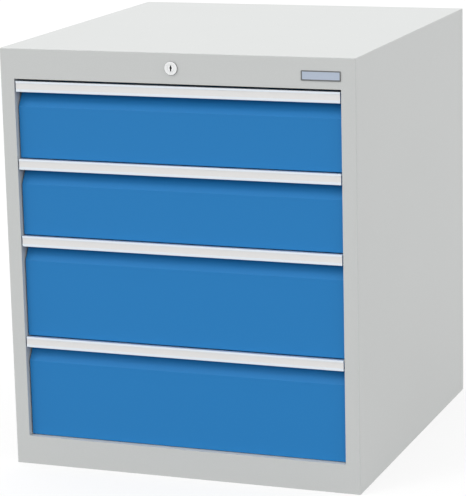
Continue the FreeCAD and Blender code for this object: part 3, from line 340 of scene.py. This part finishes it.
def anodised(name, rgba):
    """Extruded and anodised aluminium: fine die lines along X under a satin skin."""
    roughness = 0.38
    finish = Finish(name)
    lines = finish.noise(0.5 * MM, detail=3.0, stretch=(400, 1, 1))
    drift = finish.noise(120 * MM, detail=2.0, stretch=(3, 1, 1))
    tone = finish.mix(lines, shade(rgba, 0.95), shade(rgba, 1.03))
    normal = finish.bump(lines, 0.01 * MM)
    return finish.set(
        Base_Color=tone,
        Metallic=0.55 + drift * 0.1,
        Roughness=roughness + (lines - 0.5) * 0.16 + (drift - 0.5) * 0.06,
        Normal=normal,
    )


def zinc_plate(name, rgba):
    """Bright zinc: rolling lines along Y, a faint spangle and a slight yellow and blue drift."""
    roughness, spangles_per_metre = 0.36, 140.0
    finish = Finish(name)
    lines = finish.noise(0.8 * MM, detail=3.0, stretch=(1, 150, 1))
    spangle = finish.node(
        "ShaderNodeTexVoronoi", {"feature": "F1"},
        {"Vector": finish.place, "Scale": spangles_per_metre, "Randomness": 1.0}, output=1,
    )
    grey_cells = finish.node("ShaderNodeRGBToBW", {}, [spangle])
    tint = finish.noise(50 * MM, detail=2.0)
    warm = [rgba[0] * 1.02, rgba[1] * 0.99, rgba[2] * 0.93, 1]
    cool = [rgba[0] * 0.95, rgba[1] * 0.98, rgba[2] * 1.03, 1]
    tone = finish.mix(tint, warm, cool)
    tone = finish.mix(grey_cells * 0.18, tone, shade(rgba, 0.72))
    return finish.set(
        Base_Color=tone,
        Metallic=0.9,
        Roughness=roughness + (lines - 0.5) * 0.2 + (grey_cells - 0.5) * 0.1,
        Normal=finish.bump(lines + grey_cells * 0.3, 0.008 * MM),
    )


def turned_metal(name, rgba, roughness, painted_shade_span=(0, 0)):
    """Turned metal: the tool's fine lines round the piece, and faint handling marks.

    The last argument is the stretch of the outline that gets painted shade, nearly black, and is
    also rougher.
    """
    tool_feed = 0.25 * MM
    finish = Finish(name)
    along = finish.axes(finish.node("ShaderNodeUVMap", {"uv_map": "turning"}))[1]
    lines = finish.node(
        "ShaderNodeTexNoise", {"noise_dimensions": "1D"},
        {"W": along, "Scale": 1 / tool_feed, "Detail": 2.0},
    )
    marks = finish.noise(6 * MM, detail=5.0)
    tone = finish.mix(marks, shade(rgba, 0.93), shade(rgba, 1.04))
    tone = finish.mix(lines * 0.5, tone, shade(rgba, 0.8))
    # Painted shade: that stretch of the outline is made nearly black, standing in for shade and
    # dark reflections.
    in_painted_shade = along.above(painted_shade_span[0]) * (1 - along.above(painted_shade_span[1]))
    tone = finish.mix(in_painted_shade, tone, shade(rgba, 0.1))
    return finish.set(
        Base_Color=tone,
        Metallic=0.95,
        Roughness=roughness + (lines - 0.5) * 0.12 + (marks - 0.5) * 0.14 + in_painted_shade * 0.25,
        Normal=finish.bump(lines, 0.006 * MM),
    )


def label_film(name, rgba):
    """Blank paper strip under a thin clear film."""
    roughness = 0.34
    finish = Finish(name)
    fibre = finish.noise(1.2 * MM, detail=4.0, stretch=(4, 1, 1))
    drift = finish.noise(80 * MM, detail=2.0)
    tone = finish.mix(fibre, shade(rgba, 0.965), shade(rgba, 1.02))
    return finish.set(
        Base_Color=tone,
        Roughness=roughness + (drift - 0.5) * 0.1,
        Coat_Weight=0.35 + drift * 0.1,
        Normal=finish.bump(fibre, 0.01 * MM),
    )


def plate_finish(name, field, rim, border):
    """Blank plate: satin field with fine lines along X inside a dark printed border."""
    roughness = 0.34
    finish = Finish(name)
    low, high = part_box("nameplate")
    middle, half = (low + high) / 2, (high - low) / 2
    x, _, z = finish.axes(finish.place)
    beside = abs(x - middle.x).above(half.x - border)
    over = abs(z - middle.z).above(half.z - border)
    is_rim = beside.most(over)
    lines = finish.noise(0.4 * MM, detail=2.0, stretch=(60, 1, 1))
    cloud = finish.noise(20 * MM, detail=3.0)
    tone = finish.mix(lines, shade(field, 0.9), shade(field, 1.08))
    tone = finish.mix(cloud * 0.3, tone, shade(field, 0.88))
    tone = finish.mix(is_rim, tone, rim)
    return finish.set(
        Base_Color=tone,
        Metallic=0.4 - is_rim * 0.35,
        Roughness=roughness + (lines - 0.5) * 0.12 + is_rim * 0.1,
        Normal=finish.bump(lines, 0.005 * MM),
    )


def painted_keyway_shade(name):
    """Painted shade for the keyway's inside: near black and mottled, with a faint gleam."""
    finish = Finish(name)
    mottle = finish.noise(1.5 * MM, detail=3.0)
    tone = finish.mix(mottle, colour("0b0b0c"), colour("1d1c1b"))
    return finish.set(Base_Color=tone, Roughness=0.45 + mottle * 0.25, Specular_IOR_Level=0.2)


def finishes():
    return bpy.context.scene.cabinet_finishes


def made(name, maker, *values):
    """The material of that name, made the first time it is asked for."""
    return bpy.data.materials.get(name) or maker(name, *values)


def housing_paint():
    return made("housing_powder_coat", powder_coat, finishes().housing, finishes())


def zinc():
    return made("bright_zinc", zinc_plate, finishes().zinc)


def dress(nodes, material):
    """Give CAD nodes a finish in their own slots."""
    for name in nodes:
        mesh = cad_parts[name].data
        mesh.materials.clear()
        mesh.materials.append(material)


# ---------------------------------------------------------------- meshes


def way_along(profile):
    """How far along a closed outline each of its points is, and last the whole way round."""
    lengths = [math.dist(a, b) for a, b in zip(profile, [*profile[1:], profile[0]])]
    return [sum(lengths[:k]) for k in range(len(lengths) + 1)]


def turned(profile, axis, centre, sides):
    """A mesh of a closed outline of (along, radius) turned round an axis through centre.

    Along runs towards +X for a turn round X, and towards -Y for a turn round Y. The map named
    turning holds the angle and, in metres, the way along the outline.
    """
    vertices, faces, turning = [], [], []
    ways = way_along(profile)
    for k in range(sides):
        angle = 2 * math.pi * k / sides
        for along, radius in profile:
            u, v = radius * math.cos(angle), radius * math.sin(angle)
            vertices.append(Vector((along, u, v) if axis == "X" else (u, -along, v)) + centre)
    count = len(profile)
    for k in range(sides):
        after = (k + 1) % sides
        for p in range(count):
            q = (p + 1) % count
            faces.append((k * count + p, k * count + q, after * count + q, after * count + p))
            here, there = k / sides, (k + 1) / sides
            low, high = ways[p], ways[p + 1]
            turning += [here, low, here, high, there, high, there, low]
    mesh = bpy.data.meshes.new("turned")
    mesh.from_pydata(vertices, [], faces)
    mesh.uv_layers.new(name="turning").uv.foreach_set("vector", turning)
    return closed(mesh)


def closed(mesh):
    """Merge a mesh's doubles and point its faces outwards."""
    shape = bmesh.new()
    shape.from_mesh(mesh)
    bmesh.ops.remove_doubles(shape, verts=shape.verts, dist=0.001 * MM)
    bmesh.ops.dissolve_degenerate(shape, edges=shape.edges, dist=0.001 * MM)
    bmesh.ops.recalc_face_normals(shape, faces=shape.faces)
    shape.to_mesh(mesh)
    shape.free()
    return mesh


def rounded(centre, radius, start):
    """Points of (along, radius) on a quarter round about a centre, from start degrees on."""
    turns = [math.radians(start + 90 * k / ROUND_STEPS) for k in range(ROUND_STEPS + 1)]
    return [(centre[0] + radius * math.cos(t), centre[1] + radius * math.sin(t)) for t in turns]


def in_scene(name, data):
    """A new object of that data, linked to the scene."""
    new = bpy.data.objects.new(name, data)
    bpy.context.scene.collection.objects.link(new)
    return new


def plain_mesh(carrier, name):
    """The evaluated mesh of an object with modifiers, which are then removed."""
    graph = bpy.context.evaluated_depsgraph_get()
    mesh = bpy.data.meshes.new_from_object(carrier.evaluated_get(graph))
    carrier.modifiers.clear()
    bpy.data.objects.remove(carrier)
    mesh.name = name
    return mesh


def piece(name, mesh, material, body, stands_for=None):
    """A finished mesh at the origin that rides on a body."""
    finished = in_scene(name, mesh)
    if not mesh.materials:
        mesh.materials.append(material)
    mesh.shade_smooth()
    mesh.set_sharp_from_angle(angle=SHARP_ANGLE)
    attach(finished, body)
    if stands_for:
        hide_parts(stands_for)


def joined(name, meshes):
    """One mesh of several."""
    shape = bmesh.new()
    for mesh in meshes:
        shape.from_mesh(mesh)
    whole = bpy.data.meshes.new(name)
    for material in meshes[0].materials:
        whole.materials.append(material)
    shape.to_mesh(whole)
    shape.free()
    return whole


def mirrored_rows():
    """Geometry Nodes that set a small shape in a row along Y on both sides of the cabinet."""
    name = "mirrored_rows"
    if name in bpy.data.node_groups:
        return bpy.data.node_groups[name]
    tree = Pattern(name, [
        ("Half Width", "length"), ("Height", "length"), ("First", "length"), ("Pitch", "length"),
        ("Count", "count"), ("Material", "material"),
    ])
    sides = []
    for sign in (1, -1):
        start = tree.node(
            "ShaderNodeCombineXYZ", {},
            [tree.given("Half Width") * sign, tree.given("First"), tree.given("Height")],
        )
        step = tree.node("ShaderNodeCombineXYZ", {}, {"Y": tree.given("Pitch")})
        row = tree.node(
            "GeometryNodeMeshLine", {"mode": "OFFSET"},
            {"Count": tree.given("Count"), "Start Location": start, "Offset": step},
        )
        sides.append(tree.node("GeometryNodeInstanceOnPoints", {}, {
            "Points": row, "Instance": tree.given("Geometry"),
            "Rotation": (0, 0, 0 if sign > 0 else math.pi),
        }))
    both = tree.node("GeometryNodeJoinGeometry")
    for side in reversed(sides):
        tree.links.new(side.socket, both.socket.node.inputs[0])
    real = tree.node("GeometryNodeRealizeInstances", {}, [both])
    tree.end(tree.node(
        "GeometryNodeSetMaterial", {}, {"Geometry": real, "Material": tree.given("Material")},
    ))
    return tree.tree


def in_rows(name, mesh, **inputs):
    """A mesh repeated by the rows' nodes; half_width here is their Half Width, and so on."""
    carrier = in_scene(name, mesh)
    modifier = carrier.modifiers.new("rows", "NODES")
    modifier.node_group = mirrored_rows()
    for item in modifier.node_group.interface.items_tree:
        if item.in_out == "INPUT" and item.name != "Geometry":
            modifier[item.identifier] = inputs[item.name.replace(" ", "_").lower()]
    return plain_mesh(carrier, name)


# ---------------------------------------------------------------- operators


class CABINET_OT_housing(bpy.types.Operator):
    """Powder-coat the housing, inside and out"""

    bl_idname = "cabinet.housing"
    bl_label = "Housing"

    def execute(self, context):
        nodes = (
            "side_panel_left", "side_panel_right", "top_cover", "back_panel", "bottom_panel",
            "header_rail", "base_rail", "front_uprights", "rear_uprights",
        )
        dress(nodes, housing_paint())
        return {"FINISHED"}


class CABINET_OT_fronts(bpy.types.Operator):
    """Powder-coat the drawer fronts"""

    bl_idname = "cabinet.fronts"
    bl_label = "Drawer fronts"

    def execute(self, context):
        paint = made("front_powder_coat", powder_coat, finishes().front, finishes())
        dress([f"drawer_front_{n}" for n in DRAWERS], paint)
        return {"FINISHED"}


class CABINET_OT_grips(bpy.types.Operator):
    """Finish the grips and their blank label strips"""

    bl_idname = "cabinet.grips"
    bl_label = "Grips and labels"

    def execute(self, context):
        aluminium = made("anodised_grip", anodised, finishes().grip)
        paper = made("label_film", label_film, finishes().label)
        dress([f"drawer_grip_{n}" for n in DRAWERS], aluminium)
        dress([f"label_strip_{n}" for n in DRAWERS], paper)
        return {"FINISHED"}


class CABINET_OT_boxes(bpy.types.Operator):
    """Powder-coat the drawer boxes and mark the spot welds that hold their runners"""

    bl_idname = "cabinet.boxes"
    bl_label = "Drawer boxes"

    def execute(self, context):
        paint = made("box_powder_coat", powder_coat, finishes().box, finishes())
        dress([f"drawer_box_{n}" for n in DRAWERS], paint)
        for n in DRAWERS:
            self.welds(n, context.scene.cabinet_details, paint)
        return {"FINISHED"}

    def welds(self, n, sizes, paint):
        """A pressed ring at each spot weld, on the inside of the drawer's walls."""
        box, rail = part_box(f"drawer_box_{n}"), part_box(f"cabinet_rails_{n}")
        rim, wall, end_space = 8 * MM, 1 * MM, 30 * MM
        inner_face = box[1].x - rim - wall
        first, last = box[0].y + end_space, box[1].y - rim - end_space
        count = int((last - first) / sizes.weld_pitch) + 1
        radius, height = sizes.weld_radius, sizes.weld_height
        ring = [
            (0, 0), (0, radius), (-0.4 * height, 0.93 * radius), (-height, 0.8 * radius),
            (-height, 0.68 * radius), (-0.35 * height, 0.5 * radius), (-0.3 * height, 0),
        ]
        mark = in_rows(
            f"weld_marks_{n}", turned(ring, "X", Vector(), WELD_SIDES), material=paint,
            half_width=inner_face, height=(rail[0].z + rail[1].z) / 2, first=first,
            pitch=(last - first) / (count - 1), count=count,
        )
        piece(f"weld_marks_{n}", mark, paint, f"drawer_{n}")


class CABINET_OT_runners(bpy.types.Operator):
    """Zinc the rails and bars, set their rivets and turn their rollers"""

    bl_idname = "cabinet.runners"
    bl_label = "Runners"

    def execute(self, context):
        sizes = context.scene.cabinet_details
        for n in DRAWERS:
            dress([f"cabinet_rails_{n}", f"runner_carriers_{n}", f"drawer_rails_{n}"], zinc())
            inner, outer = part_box(f"front_wheels_{n}")[1].x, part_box(f"rear_wheels_{n}")[1].x
            self.rollers(f"front_wheels_{n}", sizes, [inner])
            self.rollers(f"middle_wheels_{n}", sizes, [inner, outer])
            self.rollers(f"rear_wheels_{n}", sizes, [outer])
        self.rivets(sizes)
        return {"FINISHED"}

    def rollers(self, node, sizes, faces):
        """Ball-bearing rollers on one axle line, with rounded treads and sunk seals.

        Faces holds the outer face of each pair's right roller, from the cabinet's middle.
        """
        low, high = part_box(node)
        radius, middle = (high.z - low.z) / 2, (low + high) / 2
        width, bore, hub, rim = 7 * MM, 3.05 * MM, 5 * MM, 8.7 * MM
        half, slope = width / 2, 0.1 * MM
        edge, sunk = sizes.roller_edge, half - sizes.seal_depth
        outline = [
            (half, bore), (half, hub), (sunk, hub + slope), (sunk, rim - slope), (half, rim),
            *rounded((half - edge, radius - edge), edge, 0),
            *rounded((edge - half, radius - edge), edge, 90),
            (-half, rim), (-sunk, rim - slope), (-sunk, hub + slope), (-half, hub), (-half, bore),
        ]
        steel = made("roller_steel", turned_metal, finishes().steel, ROLLER_ROUGHNESS)
        pairs = [
            in_rows(
                node + "_turned", turned(outline, "X", Vector(), sizes.sides), material=steel,
                half_width=face - half, height=middle.z, first=middle.y, pitch=0.0, count=1,
            )
            for face in faces
        ]
        mesh = joined(f"rollers_{node}", pairs)
        piece(f"rollers_{node}", mesh, steel, node, stands_for=node)

    def rivets(self, sizes):
        """Blind rivets through rail and upright, with domed heads, sunk pins and drawn tails."""
        radius, height = sizes.rivet_radius, sizes.rivet_height
        sheet, shank, crown, pin = 1.5 * MM, 2.5 * MM, 1.3 * MM, 1.2 * MM
        sheets, pin_top, inset = 2 * sheet, -0.45 * height, 10 * MM
        tail, tail_end, tail_shoulder = 3 * MM, 1.6 * MM, 2.9 * MM
        tail_swell, tail_foot = 3.2 * MM, 2.7 * MM
        angles = [math.radians(a) for a in range(0, 91, 15)]
        dome = [
            (-height * math.sin(a) ** 0.8, crown + (radius - crown) * math.cos(a))
            for a in angles
        ]
        outline = [
            *dome, (pin_top, pin), (pin_top, 0), (sheets + tail, 0), (sheets + tail, tail_end),
            (sheets + 0.8 * tail, tail_shoulder), (sheets + 0.3 * tail, tail_swell),
            (sheets, tail_foot), (sheets, shank), (0, shank),
        ]
        posts = [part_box(f"{end}_uprights")[0].y + inset for end in ("front", "rear")]
        rows = []
        for n in DRAWERS:
            low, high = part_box(f"cabinet_rails_{n}")
            rows.append(in_rows(
                f"rivets_{n}", turned(outline, "X", Vector(), RIVET_SIDES), material=zinc(),
                half_width=high.x - sheet, height=(low.z + high.z) / 2, first=posts[0],
                pitch=posts[1] - posts[0], count=2,
            ))
        mesh = joined("blind_rivets", rows)
        piece("blind_rivets", mesh, zinc(), "cabinet", stands_for="rail_rivets")


class CABINET_OT_lock(bpy.types.Operator):
    """Turn the lock's body and cylinder, cut the keyway and zinc the bars behind"""

    bl_idname = "cabinet.lock"
    bl_label = "Central lock"

    def execute(self, context):
        sizes = context.scene.cabinet_details
        self.body(sizes)
        self.cylinder(sizes)
        behind = (
            "lock_nut", "lock_cam", "transfer_bar", "lock_bar", "lock_hooks", "lock_guides",
        )
        dress(behind, zinc())
        return {"FINISHED"}

    def body(self, sizes):
        """The barrel and its flange, with a ring groove in its face and painted shade on its side
        wall and the outer half of its rounded edge.
        """
        low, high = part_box("lock_body")
        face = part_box("header_rail")[0].y
        centre = Vector(((low.x + high.x) / 2, face, (low.z + high.z) / 2))
        radius, proud, length = (high.x - low.x) / 2, face - low.y, high.y - face
        bore, barrel, chamfer = 7.05 * MM, 9 * MM, 0.35 * MM
        groove, groove_half, groove_floor = 9 * MM, 0.15 * MM, proud - 0.2 * MM
        edge, foot = sizes.lock_edge, (0, radius)
        edge_round = rounded((proud - edge, radius - edge), edge, 0)
        outline = [
            (-length, bore), (proud - chamfer, bore), (proud, bore + chamfer),
            (proud, groove - 2 * groove_half), (groove_floor, groove - groove_half),
            (groove_floor, groove + groove_half), (proud, groove + 2 * groove_half),
            *edge_round, foot, (0, barrel), (-length, barrel),
        ]
        ways = dict(zip(outline, way_along(outline)))
        # Painted shade, nearly black, on the outer half of the flange's rounded edge and on its
        # side wall.
        painted_shade_span = ways[edge_round[ROUND_STEPS // 2 + 1]], ways[foot]
        nickel = made("flange_nickel", turned_metal, finishes().nickel, LOCK_ROUGHNESS, painted_shade_span)
        mesh = turned(outline, "Y", centre, sizes.sides)
        piece("lock_flange", mesh, nickel, "cabinet", stands_for="lock_body")

    def cylinder(self, sizes):
        """The cylinder that the key turns, with its keyway cut out."""
        low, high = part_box("lock_cylinder")
        centre = Vector(((low.x + high.x) / 2, low.y, (low.z + high.z) / 2))
        radius, length, chamfer = (high.x - low.x) / 2, high.y - low.y, 0.35 * MM
        outline = [
            (0, 0), (0, radius - chamfer), (-chamfer, radius), (-length, radius), (-length, 0),
        ]
        nickel = made("plug_nickel", turned_metal, finishes().nickel, LOCK_ROUGHNESS)
        mesh = turned(outline, "Y", centre, sizes.sides)
        mesh.materials.append(nickel)
        # Second slot: near-black painted shade for the keyway's inside.
        mesh.materials.append(made("keyway_wards", painted_keyway_shade))
        carrier = in_scene("lock_cylinder_turned", mesh)
        cutter = in_scene("keyway_cutter", self.keyway(sizes, centre))
        cut = carrier.modifiers.new("keyway", "BOOLEAN")
        cut.object = cutter
        cut.operation = "DIFFERENCE"
        cut.solver = "EXACT"
        mesh = plain_mesh(carrier, "lock_plug")
        bpy.data.objects.remove(cutter)
        piece(
            "lock_plug", mesh, nickel, "lock_cylinder", stands_for="lock_cylinder",
        )

    def keyway(self, sizes, centre):
        """What is cut away for the keyway: a slot, round a little above its middle."""
        half, tall, bulge = sizes.keyway_width / 2, sizes.keyway_height / 2, sizes.keyway_round
        lift, depth, overhang, steps = 0.6 * MM, 18 * MM, 1 * MM, 12
        side = math.asin(half / bulge)
        arc = [math.pi / 2 - side - k * (math.pi - 2 * side) / steps for k in range(steps + 1)]
        right = [(half, tall)]
        right += [(bulge * math.cos(a), lift + bulge * math.sin(a)) for a in arc]
        right += [(half, -tall)]
        outline = right + [(-x, z) for x, z in reversed(right)]
        count = len(outline)
        vertices = [centre + Vector((x, y, z)) for y in (-overhang, depth) for x, z in outline]
        faces = [tuple(range(count)), tuple(range(count, 2 * count))]
        for k in range(count):
            after = (k + 1) % count
            faces.append((k, after, count + after, count + k))
        mesh = bpy.data.meshes.new("keyway")
        mesh.from_pydata(vertices, [], faces)
        closed(mesh)
        # All of the cutter's faces carry the painted shade, which the cut leaves on the keyway's
        # walls.
        mesh.materials.append(None)
        mesh.materials.append(bpy.data.materials["keyway_wards"])
        mesh.polygons.foreach_set("material_index", [1] * len(mesh.polygons))
        return mesh


class CABINET_OT_nameplate(bpy.types.Operator):
    """Finish the blank nameplate"""

    bl_idname = "cabinet.nameplate"
    bl_label = "Nameplate"

    def execute(self, context):
        own, border = finishes(), 2.2 * MM
        dress(["nameplate"], made("blank_plate", plate_finish, own.plate, own.plate_rim, border))
        return {"FINISHED"}


class CABINET_OT_stage(bpy.types.Operator):
    """Make the floor, the light and the camera"""

    bl_idname = "cabinet.stage"
    bl_label = "Stage"

    def execute(self, context):
        stage = context.scene.cabinet_stage
        self.floor(stage)
        self.sky(context, stage)
        self.lamp(stage)
        self.camera(context, stage)
        return {"FINISHED"}

    def floor(self, stage):
        """White paper that stays nearly white to the eye, but throws back little light."""
        reach = 30
        corners = [(-reach, -reach, 0), (reach, -reach, 0), (reach, reach, 0), (-reach, reach, 0)]
        mesh = bpy.data.meshes.new("floor")
        mesh.from_pydata(corners, [], [(0, 1, 2, 3)])
        floor = in_scene("floor", mesh)
        finish = Finish("floor_paper")
        grain, seen = finish.noise(4 * MM, detail=3.0), finish.seen()
        tone = finish.mix(grain * 0.02, stage.floor, shade(stage.floor, 0.97))
        tone = finish.mix(seen * stage.floor_glow, tone, (0, 0, 0, 1))
        tone = finish.mix(seen, shade(stage.floor, stage.floor_bounce), tone)
        glow = finish.mix(seen * stage.floor_glow, (0, 0, 0, 1), (1, 1, 1, 1))
        mesh.materials.append(finish.set(
            Base_Color=tone, Roughness=0.9, Specular_IOR_Level=0.0,
            Emission_Color=glow, Emission_Strength=1.0,
        ))

    def sky(self, context, stage):
        """Even light from all sides, less of it from above and near the floor; seen as white."""
        haze_top = 0.3
        context.scene.world = bpy.data.worlds.new("studio")
        context.scene.world.use_nodes = True
        sky = Nodes(context.scene.world.node_tree)
        way = sky.node("ShaderNodeTexCoord", output="Generated")
        up = sky.axes(way)[2].most(0.0)
        rise = sky.node(
            "ShaderNodeMapRange", {"interpolation_type": "SMOOTHSTEP"},
            {"Value": up, "From Max": haze_top, "To Min": stage.haze, "To Max": 1.0},
        )
        light = (stage.around - up * (stage.around - stage.zenith)) * rise
        strength = light + sky.seen() * (1 - light)
        white = sky.node("ShaderNodeBackground", {}, {"Color": (1, 1, 1, 1), "Strength": strength})
        sky.node("ShaderNodeOutputWorld", {}, {"Surface": white})

    def lamp(self, stage):
        """A distant soft lamp; level 1 alone lights a white face square to it fully."""
        softness, turn, tilt = math.radians(18), math.radians(-40), math.radians(45)
        data = bpy.data.lights.new("key_lamp", "SUN")
        data.energy = math.pi * stage.key_light
        data.angle = softness
        lamp = in_scene("key_lamp", data)
        lamp.visible_glossy = False
        lamp.matrix_world = Matrix.Rotation(turn, 4, "Z") @ Matrix.Rotation(tilt, 4, "X")

    def camera(self, context, stage):
        data = bpy.data.cameras.new("camera")
        data.sensor_fit = "VERTICAL"
        data.sensor_height = 36
        data.lens = stage.lens
        data.clip_end = 100
        camera = in_scene("camera", data)
        turn = (
            Matrix.Rotation(stage.azimuth, 4, "Z")
            @ Matrix.Rotation(math.pi / 2 - stage.elevation, 4, "X")
            @ Matrix.Rotation(-stage.roll, 4, "Z")
        )
        camera.matrix_world = Matrix.Translation(stage.camera_place) @ turn
        context.scene.camera = camera
        context.scene.view_settings.view_transform = "Standard"


# ---------------------------------------------------------------- panel and registration

PIECE_OPERATORS = (
    CABINET_OT_housing,
    CABINET_OT_fronts,
    CABINET_OT_grips,
    CABINET_OT_boxes,
    CABINET_OT_runners,
    CABINET_OT_lock,
    CABINET_OT_nameplate,
    CABINET_OT_stage,
)


class CABINET_PT_panel(bpy.types.Panel):
    bl_idname = "CABINET_PT_panel"
    bl_label = "Drawer cabinet"
    bl_space_type = "VIEW_3D"
    bl_region_type = "UI"
    bl_category = "Cabinet"

    def draw(self, context):
        for settings in ("cabinet_finishes", "cabinet_details", "cabinet_stage"):
            group = getattr(context.scene, settings)
            box = self.layout.box()
            for name in group.__annotations__:
                box.prop(group, name)
        for operator in PIECE_OPERATORS:
            self.layout.operator(operator.bl_idname)


CLASSES = (CabinetFinishes, CabinetDetails, CabinetStage, *PIECE_OPERATORS, CABINET_PT_panel)


def register():
    for cls in CLASSES:
        bpy.utils.register_class(cls)
    bpy.types.Scene.cabinet_finishes = bpy.props.PointerProperty(type=CabinetFinishes)
    bpy.types.Scene.cabinet_details = bpy.props.PointerProperty(type=CabinetDetails)
    bpy.types.Scene.cabinet_stage = bpy.props.PointerProperty(type=CabinetStage)


def unregister():
    del bpy.types.Scene.cabinet_stage
    del bpy.types.Scene.cabinet_details
    del bpy.types.Scene.cabinet_finishes
    for cls in reversed(CLASSES):
        bpy.utils.unregister_class(cls)


def main():
    register()
    bpy.ops.cabinet.housing()
    bpy.ops.cabinet.fronts()
    bpy.ops.cabinet.grips()
    bpy.ops.cabinet.boxes()
    bpy.ops.cabinet.runners()
    bpy.ops.cabinet.lock()
    bpy.ops.cabinet.nameplate()
    bpy.ops.cabinet.stage()


if __name__ == "__main__":
    main()
